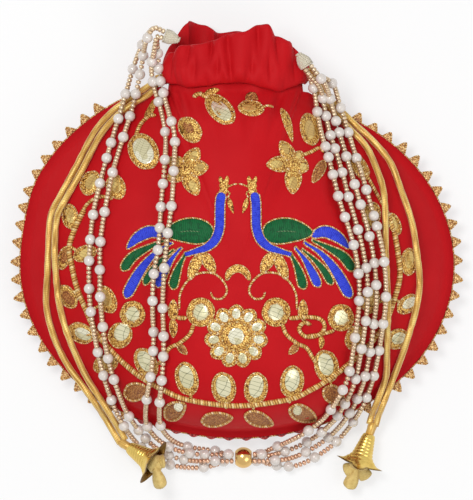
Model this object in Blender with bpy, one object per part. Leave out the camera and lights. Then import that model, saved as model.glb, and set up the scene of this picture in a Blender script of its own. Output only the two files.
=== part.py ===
"""Potli bag: a gathered drawstring pouch with a beaded strap, lying on its back.

The frame is the table that the bag lies on. X runs across the bag, Y runs up the bag towards
its frill, and Z points up, out of the embroidered front. The origin is the middle of the flat
that the filled bag rests on. All sizes are in metres, and the hand-drawn routes and motifs are
written in millimetres and scaled by MM.
"""
from math import asin, atan2, cos, degrees, exp, hypot, pi, radians, sin, sqrt

import bmesh
import bpy
from mathutils import Matrix, Vector
from mathutils.bvhtree import BVHTree

MM = 0.001

# Pouch: two cloth panels sewn together round a lace edging
HALF_WIDTH = 0.1085          # middle of the bag to the side seam
HALF_HEIGHT = 0.0865         # middle of the bag to the seam at its foot
SEAM_HEIGHT = 0.0105         # the side seam above the table
BELLY_HEIGHT = 0.060         # the crown of the filled front above the table
CLOTH = 0.0012               # lined cloth wall
SEAM_ALLOWANCE = 0.0030      # flat edge of each panel, sewn to the lace
SHOULDER_CLIMB = 0.017       # length over which the seam climbs to the neck
LEFT_SHOULDER_LIFT = 0.0095  # the left shoulder lies pushed up beside the neck
FOOT_FLAT = 0.55             # share of the back, from its middle, that lies flat
CENTRE_BULGE = 0.0040        # the middle of the front stands proud of its wings
GATHER_DEPTH = 0.0016        # gathers below the neck
FRONT_GATHERS = 6
SEAT_GAP = 0.0003            # clearance between pieces that touch

# Neck: the oval in which the panels end, and the folded frill that straddles them
NECK_X = -0.00075
NECK_TOP = 0.0880            # top edge of the panels
NECK_Z = 0.0240
NECK_HALF_WIDTH = 0.0330
NECK_HALF_DEPTH = 0.0150
COLLAR = 0.0040              # straight stretch of panel inside the band
BAND_CLOTH = 0.0010
BAND_SLACK = 0.0003          # extra room between the band's legs for the gathered cloth
BAND_OVERLAP = 0.0033        # how far the band's two legs reach down over the panels
PINCH = 0.0010               # half the thickness of the frill above the casing
FRILL_WAVE = 0.0036
FRILL_FOLDS = 11

# Cords, strands and their ends
CORD_DIAMETER = 0.0026
STRAND_DIAMETER = 0.0030
DRAPE_GAP = 0.0006           # clearance of a laid cord over the cloth that it crosses
CORD_GAP = 0.0004            # clearance between two cords
CORD_BEND = 0.015            # radius of a cord's own sag between two supports
CORD_POINT_SPACING = 2.3     # diameters between two points of a cord
CASING_CLEARANCE = 0.0003
SLIT_WIDTH = 0.0066
PAIR_HALF = 0.00165          # half the distance between two cords where they enter a knot
BALL_DIAMETER = 0.0106
BALL_FACE = 0.0066           # width of the flat round the ball's hole
BALL_PLACE = (3.2, -96.6)
TIE_DIAMETER = 0.0068
TIE_LENGTH = 0.0080

# Lace edging of zari teeth
LACE_THICKNESS = 0.0010
LACE_START = 0.0110          # plain seam between the climb to the neck and the first tooth
LACE_BAND = 0.0014           # braid outside the seam
TOOTH_REACH = 0.0050
TOOTH_PITCH = 0.0089
TUCKED_TOOTH = 0.30          # share of a tooth that shows where the foot tucks it under

# Embroidery and mirror work on the front
PATCH_THICKNESS = 0.0011
PATCH_GAP = 0.0006
PATCH_CELL = 0.0150          # longest facet of a patch that follows the cloth
STEM_STEP = 9.0              # one straight stretch of an embroidered stem, in millimetres
PETAL_ROOT = 0.08            # share of an embroidered petal that reaches past its flower's middle
MOTIF_AXIS = 0.5             # the line that mirrors the motifs, in millimetres

# Bell-shaped tassel caps on the cord ends
BELL_LENGTH = 0.0180
BELL_TOP = 0.0032            # radius of the crown round the knot
BELL_TIP_FLARE = 0.0036
BELL_RIBS = 8
BELL_TIPS = 4
BELL_WALL = 0.0010
KNOT_RADIUS = 0.0026
PETAL_THICKNESS = 0.0016
PETAL_WIDTH = 0.0088

RED_CLOTH = (0.58, 0.015, 0.022, 1.0)
ZARI_GOLD = (0.58, 0.31, 0.045, 1.0)
MIRROR_FOIL = (0.80, 0.76, 0.52, 1.0)
SATIN_GOLD = (0.69, 0.43, 0.06, 1.0)
BELL_GOLD = (0.51, 0.30, 0.03, 1.0)
PETAL_GOLD = (0.61, 0.46, 0.12, 1.0)
PEARL_WHITE = (0.84, 0.79, 0.75, 1.0)
IVORY = (0.86, 0.80, 0.62, 1.0)
PEACOCK_BLUE = (0.03, 0.08, 0.70, 1.0)


def clear_scene():
    for existing in list(bpy.data.objects):
        bpy.data.objects.remove(existing, do_unlink=True)


def finish_material(name, colour, roughness, metallic):
    """A plain Principled finish, shared by the pieces made of the same stuff."""
    material = bpy.data.materials.get(name)
    if material is None:
        material = bpy.data.materials.new(name)
        material.use_nodes = True
        shader = material.node_tree.nodes["Principled BSDF"]
        shader.inputs["Base Color"].default_value = colour
        shader.inputs["Roughness"].default_value = roughness
        shader.inputs["Metallic"].default_value = metallic
    return material


def smooth_step(value):
    value = min(max(value, 0.0), 1.0)
    return value * value * (3.0 - 2.0 * value)


def to_object(bm, name, material, sharp_angle=40.0):
    """Turn a finished bmesh into a smooth-shaded object."""
    mesh = bpy.data.meshes.new(name)
    bm.to_mesh(mesh)
    bm.free()
    mesh.shade_smooth()
    mesh.set_sharp_from_angle(angle=radians(sharp_angle))
    mesh.materials.append(material)
    made = bpy.data.objects.new(name, mesh)
    bpy.context.collection.objects.link(made)
    return made


def evaluated_bmesh(source):
    """The shape that an object has once its modifiers have run."""
    bpy.context.view_layer.update()
    graph = bpy.context.evaluated_depsgraph_get()
    bm = bmesh.new()
    bm.from_object(source, graph)
    bm.transform(source.matrix_world)
    return bm


def through(points, spacing, closed=False):
    """Evenly spaced points along a smooth curve through the hand-chosen ones."""
    count = len(points)
    vectors = [Vector(point) for point in points]
    spans = count if closed else count - 1
    fine = []
    for index in range(spans):
        before = vectors[(index - 1) % count] if closed or index else vectors[0] * 2 - vectors[1]
        start, end = vectors[index], vectors[(index + 1) % count]
        last = index + 2 >= count and not closed
        after = end * 2 - start if last else vectors[(index + 2) % count]
        for step in range(24):
            t = step / 24
            fine.append(0.5 * ((2 * start) + (end - before) * t
                               + (2 * before - 5 * start + 4 * end - after) * t * t
                               + (3 * start - before - 3 * end + after) * t ** 3))
    fine.append(vectors[0].copy() if closed else vectors[-1].copy())
    lengths = [0.0]
    for first, second in zip(fine, fine[1:]):
        lengths.append(lengths[-1] + (second - first).length)
    parts = max(int(round(lengths[-1] / spacing)), 2)
    even, place = [], 0
    for step in range(parts + 1):
        wanted = lengths[-1] * step / parts
        while place < len(lengths) - 2 and lengths[place + 1] < wanted:
            place += 1
        share = (wanted - lengths[place]) / max(lengths[place + 1] - lengths[place], 1e-9)
        even.append(fine[place].lerp(fine[place + 1], share))
    return even


# The seam outline, in the plan of the bag


def ellipse_seam(turn):
    """Seam at an angle in degrees, 0 at the right side and -90 at the foot."""
    x = HALF_WIDTH * cos(radians(turn))
    y = HALF_HEIGHT * sin(radians(turn))
    return Vector((x, y + LEFT_SHOULDER_LIFT * smooth_step((-182 - turn) / 20)))


def seam_outline(spacing):
    """The seam from the right side of the neck, round the foot, to the left side."""
    shoulder = NECK_TOP - BAND_OVERLAP
    right_side = NECK_X + NECK_HALF_WIDTH
    left_side = NECK_X - NECK_HALF_WIDTH
    right = [(right_side + 0.8 * MM, shoulder - 1.4 * MM), (right_side + 5 * MM, shoulder - 2.6 * MM)]
    left = [(left_side - 5 * MM, shoulder + 1.0 * MM), (left_side - 0.8 * MM, shoulder - 1.4 * MM)]
    side = [tuple(ellipse_seam(turn)) for turn in range(60, -241, -10)]
    return through([Vector(point) for point in right + side + left], spacing)


def seam_rise(point):
    """Height of the seam: level round the bag, climbing to the neck at the shoulders."""
    away = abs(point.x - NECK_X) - NECK_HALF_WIDTH
    climb = 1.0 - smooth_step((away - 1.0 * MM) / SHOULDER_CLIMB)
    if point.y < 0:
        climb = 0.0
    return SEAM_HEIGHT + (NECK_Z - SEAM_HEIGHT) * climb


def inward(points, index):
    """Unit direction in the plan from a seam point into the bag."""
    before = points[max(index - 1, 0)]
    after = points[min(index + 1, len(points) - 1)]
    along = (after - before).normalized()
    return Vector((along.y, -along.x))


def neck_point(turn, outward=0.0):
    """Point of the neck oval, in X and Z, at an angle in degrees; 90 is its front."""
    angle = radians(turn)
    normal = Vector((cos(angle) / NECK_HALF_WIDTH, sin(angle) / NECK_HALF_DEPTH)).normalized()
    x = NECK_X + NECK_HALF_WIDTH * cos(angle) + normal.x * outward
    z = NECK_Z + NECK_HALF_DEPTH * sin(angle) + normal.y * outward
    return Vector((x, z))


def closed_loop(bm, points):
    """A closed ring of edges, ready to extrude."""
    verts = [bm.verts.new(point) for point in points]
    return [bm.edges.new((one, two)) for one, two in zip(verts, verts[1:] + verts[:1])]


def extrude_ring(bm, loop, points):
    """Extrude a closed ring of edges and lay its new ring on the given points."""
    old = [edge.verts[0] if edge.verts[0] in loop[index - 1].verts else edge.verts[1]
           for index, edge in enumerate(loop)]
    grown = bmesh.ops.extrude_edge_only(bm, edges=loop)["geom"]
    fresh = {item for item in grown if isinstance(item, bmesh.types.BMVert)}
    ring = []
    for vert in old:
        ring.append(next(edge.other_vert(vert) for edge in vert.link_edges
                         if edge.other_vert(vert) in fresh))
    for vert, point in zip(ring, points):
        vert.co = point
    return [bm.edges.get((one, two)) for one, two in zip(ring, ring[1:] + ring[:1])]


def panel_rim(side, neck_steps, seam_spacing):
    """Outer edge and first inner ring of a panel; side is 1 for the front, -1 for the back."""
    edge, inner = [], []
    outside = CLOTH / 2
    split = SEAT_GAP + LACE_THICKNESS / 2
    first = degrees(asin((split + CLOTH) / (NECK_HALF_DEPTH + outside)))
    for step in range(neck_steps + 1):
        turn = first + (180.0 - 2 * first) * step / neck_steps
        place = neck_point(side * (180.0 - turn), outside)
        edge.append(Vector((place.x, NECK_TOP, place.y)))
        inner.append(Vector((place.x, NECK_TOP - COLLAR, place.y)))
    seam = seam_outline(seam_spacing)
    for index, point in enumerate(seam):
        away = abs(point.x - NECK_X) - NECK_HALF_WIDTH if point.y > 0 else 1.0
        grown = smooth_step(away / 0.016)
        width = SEAM_ALLOWANCE * (0.5 + 0.5 * grown)
        rise = seam_rise(point) + side * (split + CLOTH)
        edge.append(Vector((point.x, point.y, rise)))
        moved = point + inward(seam, index) * width
        inner.append(Vector((moved.x, moved.y, rise)))
    return edge, inner


def front_height(start_z, share, direction):
    """Crowned front: soft wings, a steep foot and a gentle slope up to the neck."""
    foot = smooth_step((-sin(direction) - 0.60) / 0.36)
    neck = smooth_step((sin(direction) - 0.80) / 0.12)
    power = 2.0 + 1.3 * foot + 0.1 * neck
    root = 1.15 + 0.75 * foot - 0.15 * neck
    crown = max(1.0 - share ** power, 0.0) ** (1.0 / root)
    return start_z + (BELLY_HEIGHT - start_z) * crown


def front_relief(x, y):
    """The two long pleats beside the middle of the front."""
    left = smooth_step((x + 0.0395) / 0.007)
    right_line = 0.044 + 0.012 * smooth_step((0.045 - y) / 0.05)
    right = smooth_step((right_line + 0.0035 - x) / 0.007)
    length = smooth_step((y + 0.035) / 0.07) * smooth_step((0.084 - y) / 0.012)
    return CENTRE_BULGE * left * right * length


def back_height(start_z, share):
    """Back of the bag: flat in the middle, rolling up to the seam."""
    roll = max(share - FOOT_FLAT, 0.0) / (1.0 - FOOT_FLAT)
    return start_z * roll ** 2.1


def make_panel(name, side, neck_steps, seam_spacing, shares):
    """One cloth panel, lofted ring by ring from its sewn edge to its middle."""
    edge, inner = panel_rim(side, neck_steps, seam_spacing)
    middle = Vector((0.0, -2.0 * MM, 0.0))
    rings = [edge, inner]
    for share in shares:
        ring = []
        for index, start in enumerate(inner):
            x = middle.x + (start.x - middle.x) * share
            y = middle.y + (start.y - middle.y) * share
            if side > 0:
                z = front_height(start.z, share, atan2(start.y - middle.y, start.x - middle.x))
                z += front_relief(x, y)
                if index <= neck_steps:
                    fold = cos(2 * pi * FRONT_GATHERS * index / neck_steps)
                    z += GATHER_DEPTH * fold * exp(-((0.93 - share) / 0.22) ** 2)
            else:
                z = back_height(start.z, share)
            ring.append(Vector((x, y, z)))
        rings.append(ring)
    bm = bmesh.new()
    loop = closed_loop(bm, rings[0])
    for ring in rings[1:]:
        loop = extrude_ring(bm, loop, ring)
    crown = middle.copy()
    crown.z = BELLY_HEIGHT + front_relief(0.0, middle.y) if side > 0 else 0.0
    cap = bmesh.ops.contextual_create(bm, geom=loop)["faces"]
    poked = bmesh.ops.poke(bm, faces=cap)["verts"]
    for vert in poked:
        vert.co = crown
    bmesh.ops.recalc_face_normals(bm, faces=bm.faces)
    top = max(bm.faces, key=lambda face: face.calc_center_median().z * side)
    if top.normal.z * side < 0:
        bmesh.ops.reverse_faces(bm, faces=bm.faces)
    cloth = finish_material("red_silk", RED_CLOTH, 0.55, 0.0)
    panel = to_object(bm, name, cloth)
    wall = panel.modifiers.new("cloth_wall", "SOLIDIFY")
    wall.thickness = CLOTH
    wall.offset = -1.0
    wall.use_even_offset = True
    return panel


# The frill: one folded strip whose two legs hold the panels between them

FRILL_TOP = ((0, 104.0), (18, 106.5), (38, 112.5), (52, 115.0), (62, 121.0), (70, 120.5), (84, 117.0),
             (96, 116.0), (108, 113.0), (122, 111.0), (142, 110.5), (160, 107.0), (180, 106.0),
             (204, 113.0), (226, 123.0), (242, 121.0), (256, 117.0), (272, 118.0), (292, 114.0),
             (314, 112.0), (338, 107.0))


def frill_top(turn):
    """Height of the frill's rolled edge round the neck, read between the chosen places."""
    places = list(FRILL_TOP) + [(FRILL_TOP[0][0] + 360, FRILL_TOP[0][1])]
    for (start, low), (end, high) in zip(places, places[1:]):
        if start <= turn % 360 <= end:
            return MM * (low + (high - low) * smooth_step((turn % 360 - start) / (end - start)))
    return MM * places[0][1]


CHANNEL = CORD_DIAMETER + 2 * CASING_CLEARANCE
CHANNEL_HALF = CLOTH / 2 + SEAT_GAP + 0.0010
LOWER_CORD = NECK_TOP + 0.0009 + CASING_CLEARANCE + CORD_DIAMETER / 2
UPPER_CORD = LOWER_CORD + CORD_DIAMETER + CASING_CLEARANCE
CHANNEL_TOP = UPPER_CORD + CORD_DIAMETER / 2 + CASING_CLEARANCE


def band_section(turn):
    """The folded strip in one radial plane, as (distance out of the oval, Y)."""
    slot = CLOTH / 2 + SEAT_GAP + BAND_SLACK
    legs = slot + BAND_CLOTH
    wide = CHANNEL_HALF + BAND_CLOTH
    foot = NECK_TOP - BAND_OVERLAP
    throat = NECK_TOP + SEAT_GAP
    pinch = CHANNEL_TOP + BAND_CLOTH + 0.0012
    top = frill_top(turn)
    around = radians(turn)
    depth = FRILL_WAVE * (0.35 + 0.65 * sin(around) ** 2)
    wave = depth * (0.7 * cos(FRILL_FOLDS * around) + 0.3 * cos(5 * around + 1.2))
    middle = pinch + 0.45 * (top - pinch)
    shoulder = top - 2.2 * PINCH
    puff = 0.0007 * (1.0 + cos((FRILL_FOLDS + 5) * around)) / 2
    return [
        (legs + 0.3 * puff, foot), (wide + puff, NECK_TOP + 0.0012), (wide + puff, CHANNEL_TOP - 0.0004),
        (PINCH + 0.15 * wave, pinch), (2.4 * PINCH + 0.8 * wave, middle), (1.3 * PINCH + wave, shoulder),
        (wave, top), (-1.3 * PINCH + wave, shoulder), (-1.1 * PINCH + 0.8 * wave, middle),
        (-PINCH + 0.15 * wave, pinch), (-wide - 0.0002, CHANNEL_TOP - 0.0004),
        (-wide, NECK_TOP + 0.0012), (-legs, foot), (-slot, foot), (-slot, throat),
        (-CHANNEL_HALF, NECK_TOP + 0.0009), (-CHANNEL_HALF, CHANNEL_TOP),
        (CHANNEL_HALF, CHANNEL_TOP), (CHANNEL_HALF, NECK_TOP + 0.0009), (slot, throat), (slot, foot),
    ]


def neck_place(turn, outward, height):
    """World point at a distance out of the neck oval."""
    across = neck_point(turn, outward)
    return Vector((across.x, height, across.y))


def slit_cutter(name, turn, height):
    """Box that opens the casing's outer leg where a pair of cord ends comes out."""
    bm = bmesh.new()
    bmesh.ops.create_cube(bm, size=1.0)
    middle = neck_place(turn, CHANNEL_HALF + BAND_CLOTH / 2, height)
    size = (0.0042, CORD_DIAMETER + 4 * CASING_CLEARANCE, SLIT_WIDTH)
    bmesh.ops.scale(bm, vec=size, verts=bm.verts)
    bmesh.ops.translate(bm, vec=middle, verts=bm.verts)
    cutter = to_object(bm, name, finish_material("red_silk", RED_CLOTH, 0.55, 0.0))
    cutter.hide_render = True
    cutter.display_type = "WIRE"
    return cutter


def make_neck_band(stations=38):
    bm = bmesh.new()
    sections = []
    for station in range(stations):
        turn = 360.0 * station / stations
        sections.append([neck_place(turn, out, height) for out, height in band_section(turn)])
    first = loop = closed_loop(bm, sections[0])
    for section in sections[1:]:
        loop = extrude_ring(bm, loop, section)
    bmesh.ops.bridge_loops(bm, edges=loop + first)
    bmesh.ops.recalc_face_normals(bm, faces=bm.faces)
    band = to_object(bm, "neck_band", finish_material("red_silk", RED_CLOTH, 0.55, 0.0), 60.0)
    for name, turn, height in (("left_slit", 180.0, LOWER_CORD), ("right_slit", 0.0, UPPER_CORD)):
        cut = band.modifiers.new(name, "BOOLEAN")
        cut.operation = "DIFFERENCE"
        cut.solver = "EXACT"
        cut.object = slit_cutter(name, turn, height)
    return band


# The lace edging, sewn between the panels


def make_lace():
    """Flat braid along the seam with one pointed tooth for each pitch."""
    seam = seam_outline(TOOTH_PITCH / 3)
    level = [index for index, point in enumerate(seam)
             if point.y < 0 or abs(point.x - NECK_X) > NECK_HALF_WIDTH + SHOULDER_CLIMB + LACE_START]
    start, end = level[0], level[-1]
    end -= (end - start) % 3
    rim, root = [], []
    for index in range(start, end + 1):
        out = inward(seam, index) * -1.0
        reach = LACE_BAND
        step = (index - start) % 3
        if step == 0:
            root.append(seam[index] - out * (SEAM_ALLOWANCE * 0.8))
        if step > 0 or index in (start, end):
            rim.append(seam[index] + out * reach)
        if step == 1 and index < end:
            foot = smooth_step((-seam[index].y / HALF_HEIGHT - 0.80) / 0.12)
            shown = TOOTH_REACH * (1.0 - (1.0 - TUCKED_TOOTH) * foot)
            tip = (seam[index] + seam[index + 1]) / 2 + out * (LACE_BAND + shown)
            rim.append(tip)
    bm = bmesh.new()
    low = SEAM_HEIGHT - LACE_THICKNESS / 2
    outline = [bm.verts.new((point.x, point.y, low)) for point in rim + root[::-1]]
    face = bm.faces.new(outline)
    grown = bmesh.ops.extrude_face_region(bm, geom=[face])["geom"]
    raised = [item for item in grown if isinstance(item, bmesh.types.BMVert)]
    bmesh.ops.translate(bm, vec=(0, 0, LACE_THICKNESS), verts=raised)
    bmesh.ops.recalc_face_normals(bm, faces=bm.faces)
    bmesh.ops.triangulate(bm, faces=[f for f in bm.faces if len(f.verts) > 4])
    return to_object(bm, "edge_lace", finish_material("zari_gold", ZARI_GOLD, 0.4, 0.8), 20.0)


# What a cord or a patch lies on


class Ground:
    """Heights of everything laid so far, seen from above."""

    def __init__(self):
        self.trees = []
        self.laid = []

    def add(self, made):
        bm = evaluated_bmesh(made)
        self.trees.append(BVHTree.FromBMesh(bm))
        bm.free()

    def height(self, x, y):
        best = 0.0
        for tree in self.trees:
            hit = tree.ray_cast(Vector((x, y, 0.2)), Vector((0, 0, -1)))[0]
            if hit is not None:
                best = max(best, hit.z)
        return best

    def rest_height(self, x, y, radius):
        """Lowest height at which a round cord's centre clears the cloth below it."""
        best = max(radius + 0.0001, self.height(x, y) + radius + DRAPE_GAP)
        for reach, lift in ((0.6, 0.85), (1.0, 0.5), (1.5, -0.1)):
            for step in range(12):
                angle = 2 * pi * step / 12
                found = self.height(x + reach * radius * cos(angle), y + reach * radius * sin(angle))
                if found > 0:
                    best = max(best, found + lift * radius + DRAPE_GAP)
        return best

    def crossed_cords(self, x, y, radius):
        """Heights and plan distances of the cords laid so far that come close to a place."""
        near = []
        for points, other in self.laid:
            clear = radius + other + CORD_GAP
            for point in points:
                away = hypot(point.x - x, point.y - y)
                if away < clear:
                    near.append([point.z, away, clear, False])
        return near

    def lay(self, route, diameter, start_z, end_z):
        """Lay a cord along a plan route: it rests on what is below and sags between.

        Every stretch between two points is straight, so each is lifted where it would
        cut into what it crosses. The two ends are held at their heights.
        """
        radius = diameter / 2
        pace = CORD_POINT_SPACING * diameter
        plan = through([Vector((x * MM, y * MM, 0.0)) for x, y in route], pace)
        count = len(plan)
        checks = []
        for index in range(count - 1):
            for share in (0.0, 0.15, 0.3, 0.45, 0.6, 0.75, 0.9):
                spot = plan[index].lerp(plan[index + 1], share)
                checks.append((index, share, self.rest_height(spot.x, spot.y, radius),
                               self.crossed_cords(spot.x, spot.y, radius)))
        height = [start_z] + [radius + 0.0001] * (count - 2) + [end_z]
        held = {0, count - 1}
        sag = pace ** 2 / (2 * CORD_BEND)
        for sweep in range(400):
            for index in range(1, count - 1):
                height[index] = (height[index - 1] + height[index + 1]) / 2 - sag
            for index, share, need, near in checks:
                level = height[index] * (1 - share) + height[index + 1] * share
                for other in near:
                    z, away, clear, over = other
                    if not over and sweep % 25 == 24 and hypot(away, max(level, need) - z) < clear:
                        other[3] = over = True
                    if over:
                        need = max(need, z + sqrt(clear * clear - away * away))
                short = need - level
                start_free = 0.0 if index in held else 1.0 - share
                end_free = 0.0 if index + 1 in held else share
                if short > 0 and max(start_free, end_free) > 0.25:
                    weight = start_free ** 2 + end_free ** 2
                    height[index] += short * start_free / weight
                    height[index + 1] += short * end_free / weight
        for point, level in zip(plan, height):
            point.z = level
        self.remember(plan, radius)
        return plan

    def remember(self, points, radius):
        """Keep a laid cord, so that the next one goes over it."""
        dense = []
        for one, two in zip(points, points[1:]):
            dense += [one.lerp(two, step / 9) for step in range(9)]
        self.laid.append((dense + [points[-1]], radius))


def make_cord(name, points, diameter, material):
    """A plain round cord: a POLY curve with a bevel and filled ends."""
    curve = bpy.data.curves.new(name, "CURVE")
    curve.dimensions = "3D"
    curve.bevel_depth = diameter / 2
    curve.bevel_resolution = 2
    curve.render_resolution_u = 0
    curve.use_fill_caps = True
    spline = curve.splines.new("POLY")
    spline.points.add(len(points) - 1)
    for place, point in zip(spline.points, points):
        place.co = (point.x, point.y, point.z, 1.0)
    curve.materials.append(material)
    made = bpy.data.objects.new(name, curve)
    bpy.context.collection.objects.link(made)
    return made


LOOP_START = 27.0            # where the free ends leave the casing's round, either side of a slit


def make_loop(name, slit_turn, height):
    """The part of a drawcord that runs round the neck inside the casing."""
    turns = 60
    sweep = 360.0 - 2 * LOOP_START
    points = [neck_place(slit_turn + LOOP_START + sweep * step / turns, 0.0, height)
              for step in range(turns + 1)]
    satin = finish_material("satin_cord", SATIN_GOLD, 0.45, 0.1)
    return make_cord(name, through(points, 0.0062), CORD_DIAMETER, satin)


# Plan routes of the paired drawcords: X, Y and half the space between the pair, in millimetres
LEFT_PAIR = ((-43.5, 88.0, 1.6), (-53, 82, 1.6), (-62.5, 74.5, 1.6), (-70.5, 64.5, 1.7), (-78.5, 49, 1.7),
             (-86.5, 34.5, 1.6), (-91.5, 24, 1.6), (-92.6, 8, 1.6), (-92.6, -5, 2.2), (-92, -20, 3.3),
             (-88.5, -34, 3.5), (-83, -47, 3.1), (-76, -59, 2.0), (-68.5, -70, 1.65), (-62, -80.5, 1.65))
RIGHT_PAIR = ((41.5, 86.5, 1.6), (48.5, 78.5, 1.6), (57, 70, 1.7), (66, 61, 2.2), (73, 50, 3.8), (77.5, 37, 4.4),
              (80.6, 21, 6.6), (81.8, 7, 7.8), (83, -9, 8.2), (82.3, -22, 7.0), (80.6, -33, 5.6),
              (78.6, -45, 3.8), (76.4, -56, 1.9), (73, -65.5, 1.65), (69.5, -74.5, 1.65))
# Crown and mouth of each bell's axis: X, Y and height, in millimetres
BELLS = {"left": ((-54.2, -91.3, 9.0), (-41.6, -99.0, 16.0)), "right": ((66.5, -84.5, 8.5), (61.0, -100.5, 9.2))}


def pair_route(pair, side):
    """One cord of a pair, set to a side of their shared line."""
    middle = [Vector((x, y)) for x, y, _ in pair]
    route = []
    for index, (x, y, half) in enumerate(pair):
        along = (middle[min(index + 1, len(pair) - 1)] - middle[max(index - 1, 0)]).normalized()
        across = Vector((along.y, -along.x))
        route.append((x + side * across.x * half, y + side * across.y * half))
    return route


def bell_axis(side):
    """Crown point and direction of a bell that lies on its ribs and tips."""
    start, end = (Vector(place) * MM for place in BELLS[side])
    return start, (end - start).normalized()


def make_drawcord(side, ground):
    """The two free ends of one drawcord, from the casing to the knot above the bell."""
    satin = finish_material("satin_cord", SATIN_GOLD, 0.45, 0.1)
    pair = LEFT_PAIR if side == "left" else RIGHT_PAIR
    slit = 180.0 if side == "left" else 0.0
    level = LOWER_CORD if side == "left" else UPPER_CORD
    outward = -1 if side == "left" else 1
    crown, along = bell_axis(side)
    knot = crown - along * (KNOT_RADIUS + SEAT_GAP)
    make_loop(f"drawcord_{side}_loop", slit, level)
    for rank, place in (("inner", -1), ("outer", 1)):
        sweep = LOOP_START * 0.93 * -place * outward
        inside = [neck_place(slit - sweep, 0.0, level), neck_place(slit - sweep * 0.62, 0.1 * MM, level)]
        z = NECK_Z + place * 1.6 * MM
        mouth = neck_place(slit, 0.0, level)
        inside.append(Vector((mouth.x + outward * 1.0 * MM, level, z)))
        inside.append(Vector((mouth.x + outward * 5.6 * MM, level - 0.2 * MM, z)))
        route = pair_route(pair, -place * outward)
        last_x, last_y, _ = pair[-1]
        back = Vector((last_x * MM - knot.x, last_y * MM - knot.y, 0.0)).normalized()
        flank = Vector((-back.y, back.x, 0.0)) * (-place * outward) * PAIR_HALF
        meet = knot + back * (KNOT_RADIUS + SEAT_GAP + 0.0002) + flank
        before = meet + back * CORD_DIAMETER
        last = inside.pop()
        plan = [(last.x / MM, last.y / MM)] + route + [(before.x / MM, before.y / MM)]
        laid = ground.lay(plan, CORD_DIAMETER, z, before.z)
        make_cord(f"drawcord_{side}_{rank}", inside + laid + [meet], CORD_DIAMETER, satin)
    return knot


def make_knot(side, centre):
    bm = bmesh.new()
    bmesh.ops.create_uvsphere(bm, u_segments=10, v_segments=6, radius=KNOT_RADIUS)
    bmesh.ops.translate(bm, vec=centre, verts=bm.verts)
    return to_object(bm, f"cord_knot_{side}", finish_material("satin_cord", SATIN_GOLD, 0.45, 0.1), 60.0)


def bell_frame(side):
    """Matrix that stands a shape drawn along +Z on a bell's axis, two tips on the table."""
    start, along = bell_axis(side)
    across = along.cross(Vector((0, 0, 1))).normalized()
    over = along.cross(across)
    turn = Matrix((across, over, along)).transposed().to_4x4()
    return Matrix.Translation(start) @ turn


def make_bell(side, steps=24):
    """Ribbed flower cap: thin wall, open mouth, four flared petal tips."""
    outer = ((0.0, 0.55), (0.06, 1.0), (0.30, 1.30), (0.55, 1.70), (0.78, 2.05), (0.92, 2.30), (1.0, 2.44))
    bm = bmesh.new()

    def ring(share, radius, inset):
        points = []
        for step in range(steps):
            angle = 2 * pi * step / steps
            rib = 1.0 + 0.055 * cos(BELL_RIBS * angle) * smooth_step(share / 0.2)
            tip = max(cos(BELL_TIPS * (angle + pi / 4)), 0.0) * smooth_step((share - 0.7) / 0.3)
            size = radius * BELL_TOP * rib + BELL_TIP_FLARE * tip - inset
            z = share * BELL_LENGTH + 0.0022 * tip - 0.0018 * smooth_step((share - 0.85) / 0.15)
            points.append(Vector((size * cos(angle), size * sin(angle), z)))
        return points

    rings = [ring(share, radius, 0.0) for share, radius in outer]
    rings += [ring(share, radius, BELL_WALL) for share, radius in outer[:1:-1]]
    loop = first = closed_loop(bm, rings[0])
    for points in rings[1:]:
        loop = extrude_ring(bm, loop, points)
    for end in (first, loop):
        bmesh.ops.contextual_create(bm, geom=end)
    bmesh.ops.recalc_face_normals(bm, faces=bm.faces)
    bmesh.ops.transform(bm, matrix=bell_frame(side), verts=bm.verts)
    return to_object(bm, f"bell_cap_{side}", finish_material("bell_gold", BELL_GOLD, 0.25, 1.0), 50.0)


PETALS = {"left": ((-34, -2.0), (2, 0.0), (36, 3.0)), "right": ((-36, -1.0), (0, 3.5), (36, -1.0))}


def make_petals(side):
    """Stem that fills the bell, with three flat paddles hanging out of its mouth."""
    plates = []
    stem = bmesh.new()
    bmesh.ops.create_cone(stem, cap_ends=True, segments=12, radius1=0.0021, radius2=0.0042,
                          depth=BELL_LENGTH * 0.70)
    bmesh.ops.translate(stem, vec=(0, 0, BELL_LENGTH * 0.67), verts=stem.verts)
    plates.append(stem)
    for splay, extra in PETALS[side]:
        reach = 0.0105 + extra * MM
        root = BELL_LENGTH * 0.94
        widths = ((0.0, 0.35), (0.25, 0.42), (0.50, 0.70), (0.75, 0.95), (0.92, 0.80), (1.0, 0.45))
        outline = [(half * PETAL_WIDTH / 2, share * reach) for share, half in widths]
        outline += [(-x, z) for x, z in outline[::-1]]
        leaf = bmesh.new()
        verts = [leaf.verts.new((x, -PETAL_THICKNESS / 2, z)) for x, z in outline]
        grown = bmesh.ops.extrude_face_region(leaf, geom=[leaf.faces.new(verts)])["geom"]
        raised = [item for item in grown if isinstance(item, bmesh.types.BMVert)]
        bmesh.ops.translate(leaf, vec=(0, PETAL_THICKNESS, 0), verts=raised)
        bmesh.ops.recalc_face_normals(leaf, faces=leaf.faces)
        bmesh.ops.rotate(leaf, matrix=Matrix.Rotation(radians(splay), 3, "Y"), verts=leaf.verts)
        bmesh.ops.translate(leaf, vec=(0, 0, root), verts=leaf.verts)
        plates.append(leaf)
    bm = united(plates)
    bmesh.ops.transform(bm, matrix=bell_frame(side), verts=bm.verts)
    return to_object(bm, f"bell_petals_{side}", finish_material("petal_gold", PETAL_GOLD, 0.6, 0.2), 40.0)


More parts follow.
